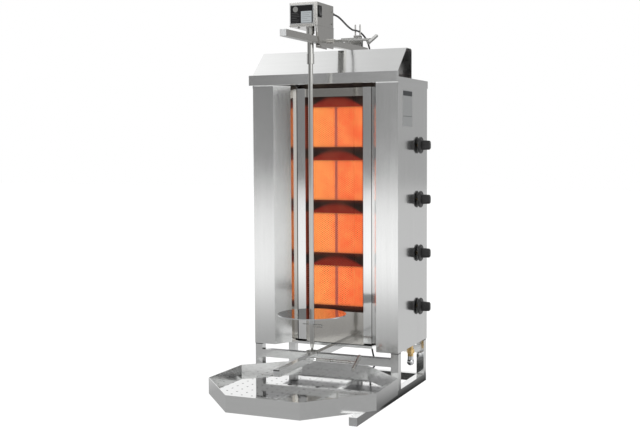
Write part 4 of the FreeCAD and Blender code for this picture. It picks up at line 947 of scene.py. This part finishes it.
def makeFloor():
    half = studio["floorSize"] / 2
    mesh = bpy.data.meshes.new("studioFloor")
    mesh.from_pydata([(-half, -half, 0), (half, -half, 0), (half, half, 0), (-half, half, 0)], [], [(0, 1, 2, 3)])
    floor = bpy.data.objects.new("studioFloor", mesh)
    bpy.context.collection.objects.link(floor)
    material = bpy.data.materials.new("studioFloor")
    material.use_nodes = True
    tree = material.node_tree
    tree.nodes.remove(tree.nodes["Principled BSDF"])
    rays = addNode(tree, "LightPath", {}, 0).node.outputs
    direct = calc(tree, "MAXIMUM", rays["Is Camera Ray"], rays["Is Transmission Ray"])
    seen = calc(tree, "MAXIMUM", direct, rays["Is Glossy Ray"])
    look = addNode(tree, "NewGeometry", {}, 0).node.outputs
    onward = addNode(tree, "VectorMath", {0: look["Incoming"], 1: (-1.0, -1.0, -1.0)}, 0, operation="MULTIPLY")
    far = roomLight(tree, onward, roomLook["floorFar"], roomLook["floorLobes"])
    radius = addNode(tree, "VectorMath", {0: look["Position"]}, "Value", operation="LENGTH")
    axes = axesOf(tree, look["Position"])
    # painted shade: the floor seen in reflections is dimmed near the grill's front
    paintedNearShade = calc(tree, "MULTIPLY", spread(tree, radius, *studio["nearReach"], 1.0 - studio["nearShadeGlow"], 0.0, True),
                  spread(tree, axes["Y"], *studio["nearFront"]))
    near = calc(tree, "SUBTRACT", 1.0, paintedNearShade)
    # painted shadow: the floor seen in reflections goes dark under the cabinet
    soft = studio["underSoft"]
    x0, x1, y0, y1 = studio["under"]
    under = 1.0
    for axis, low, high in (("X", x0, x1), ("Y", y0, y1)):
        rise = spread(tree, axes[axis], low - soft, low + soft, 0.0, 1.0, True)
        fall = spread(tree, axes[axis], high - soft, high + soft, 1.0, 0.0, True)
        under = calc(tree, "MULTIPLY", under, calc(tree, "MULTIPLY", rise, fall))
    mirrored = calc(tree, "MULTIPLY", calc(tree, "MULTIPLY", far, near),
                    spread(tree, under, 0.0, 1.0, 1.0, studio["underGlow"]))
    power = calc(tree, "ADD", calc(tree, "MULTIPLY", direct, studio["floorGlow"]),
                 calc(tree, "MULTIPLY", rays["Is Glossy Ray"], mirrored))
    shade = calc(tree, "MULTIPLY", direct, studio["floorTone"])
    plain = addNode(tree, "BsdfDiffuse", {"Color": color(*[studio["bounceTone"]] * 3)})
    shaded = addNode(tree, "BsdfDiffuse", {"Color": shade})
    glow = addNode(tree, "Emission", {"Color": color(1, 1, 1), "Strength": power})
    bright = addNode(tree, "AddShader", {0: shaded, 1: glow})
    mix = addNode(tree, "MixShader", {0: seen, 1: plain, 2: bright})
    tree.links.new(mix, tree.nodes["Material Output"].inputs["Surface"])
    mesh.materials.append(material)


def makeWorld():
    world = bpy.data.worlds.new("studio")
    bpy.context.scene.world = world
    world.use_nodes = True
    tree = world.node_tree
    background = tree.nodes["Background"]
    way = addNode(tree, "TexCoord", {}, "Generated")
    height = axesOf(tree, way)["Z"]
    wall = roomLight(tree, way, roomLook["wall"], roomLook["wallLobes"])
    top = spread(tree, height, *roomLook["topRise"], 0.0, 1.0, True)
    overhead = roomLight(tree, way, roomLook["overhead"], roomLook["topLobes"])
    room = calc(tree, "ADD", calc(tree, "MULTIPLY", wall, calc(tree, "SUBTRACT", 1.0, top)),
                calc(tree, "MULTIPLY", top, overhead))
    rays = addNode(tree, "LightPath", {}, 0).node.outputs
    direct = calc(tree, "MAXIMUM", rays["Is Camera Ray"], rays["Is Transmission Ray"])
    glossy = rays["Is Glossy Ray"]
    other = calc(tree, "SUBTRACT", 1.0, calc(tree, "MAXIMUM", direct, glossy))
    light = calc(tree, "ADD", calc(tree, "MULTIPLY", glossy, room), direct)
    light = calc(tree, "ADD", light, calc(tree, "MULTIPLY", other, roomLook["diffuse"]))
    tree.links.new(light, background.inputs["Strength"])
    background.inputs["Color"].default_value = color(1.0, 1.0, 1.0)


def makeLamps():
    for number, (place, power) in enumerate(studio["lamps"]):
        data = bpy.data.lights.new(f"softLamp{number}", "AREA")
        data.size = studio["lampSize"]
        data.energy = power
        lamp = bpy.data.objects.new(f"softLamp{number}", data)
        aim = Vector(studio["aim"]) - Vector(place)
        lamp.matrix_world = Matrix.Translation(place) @ aim.to_track_quat("-Z", "Y").to_matrix().to_4x4()
        bpy.context.collection.objects.link(lamp)


makeFloor()
makeWorld()
makeLamps()
bpy.context.scene.view_settings.view_transform = "Standard"
print("studio made")
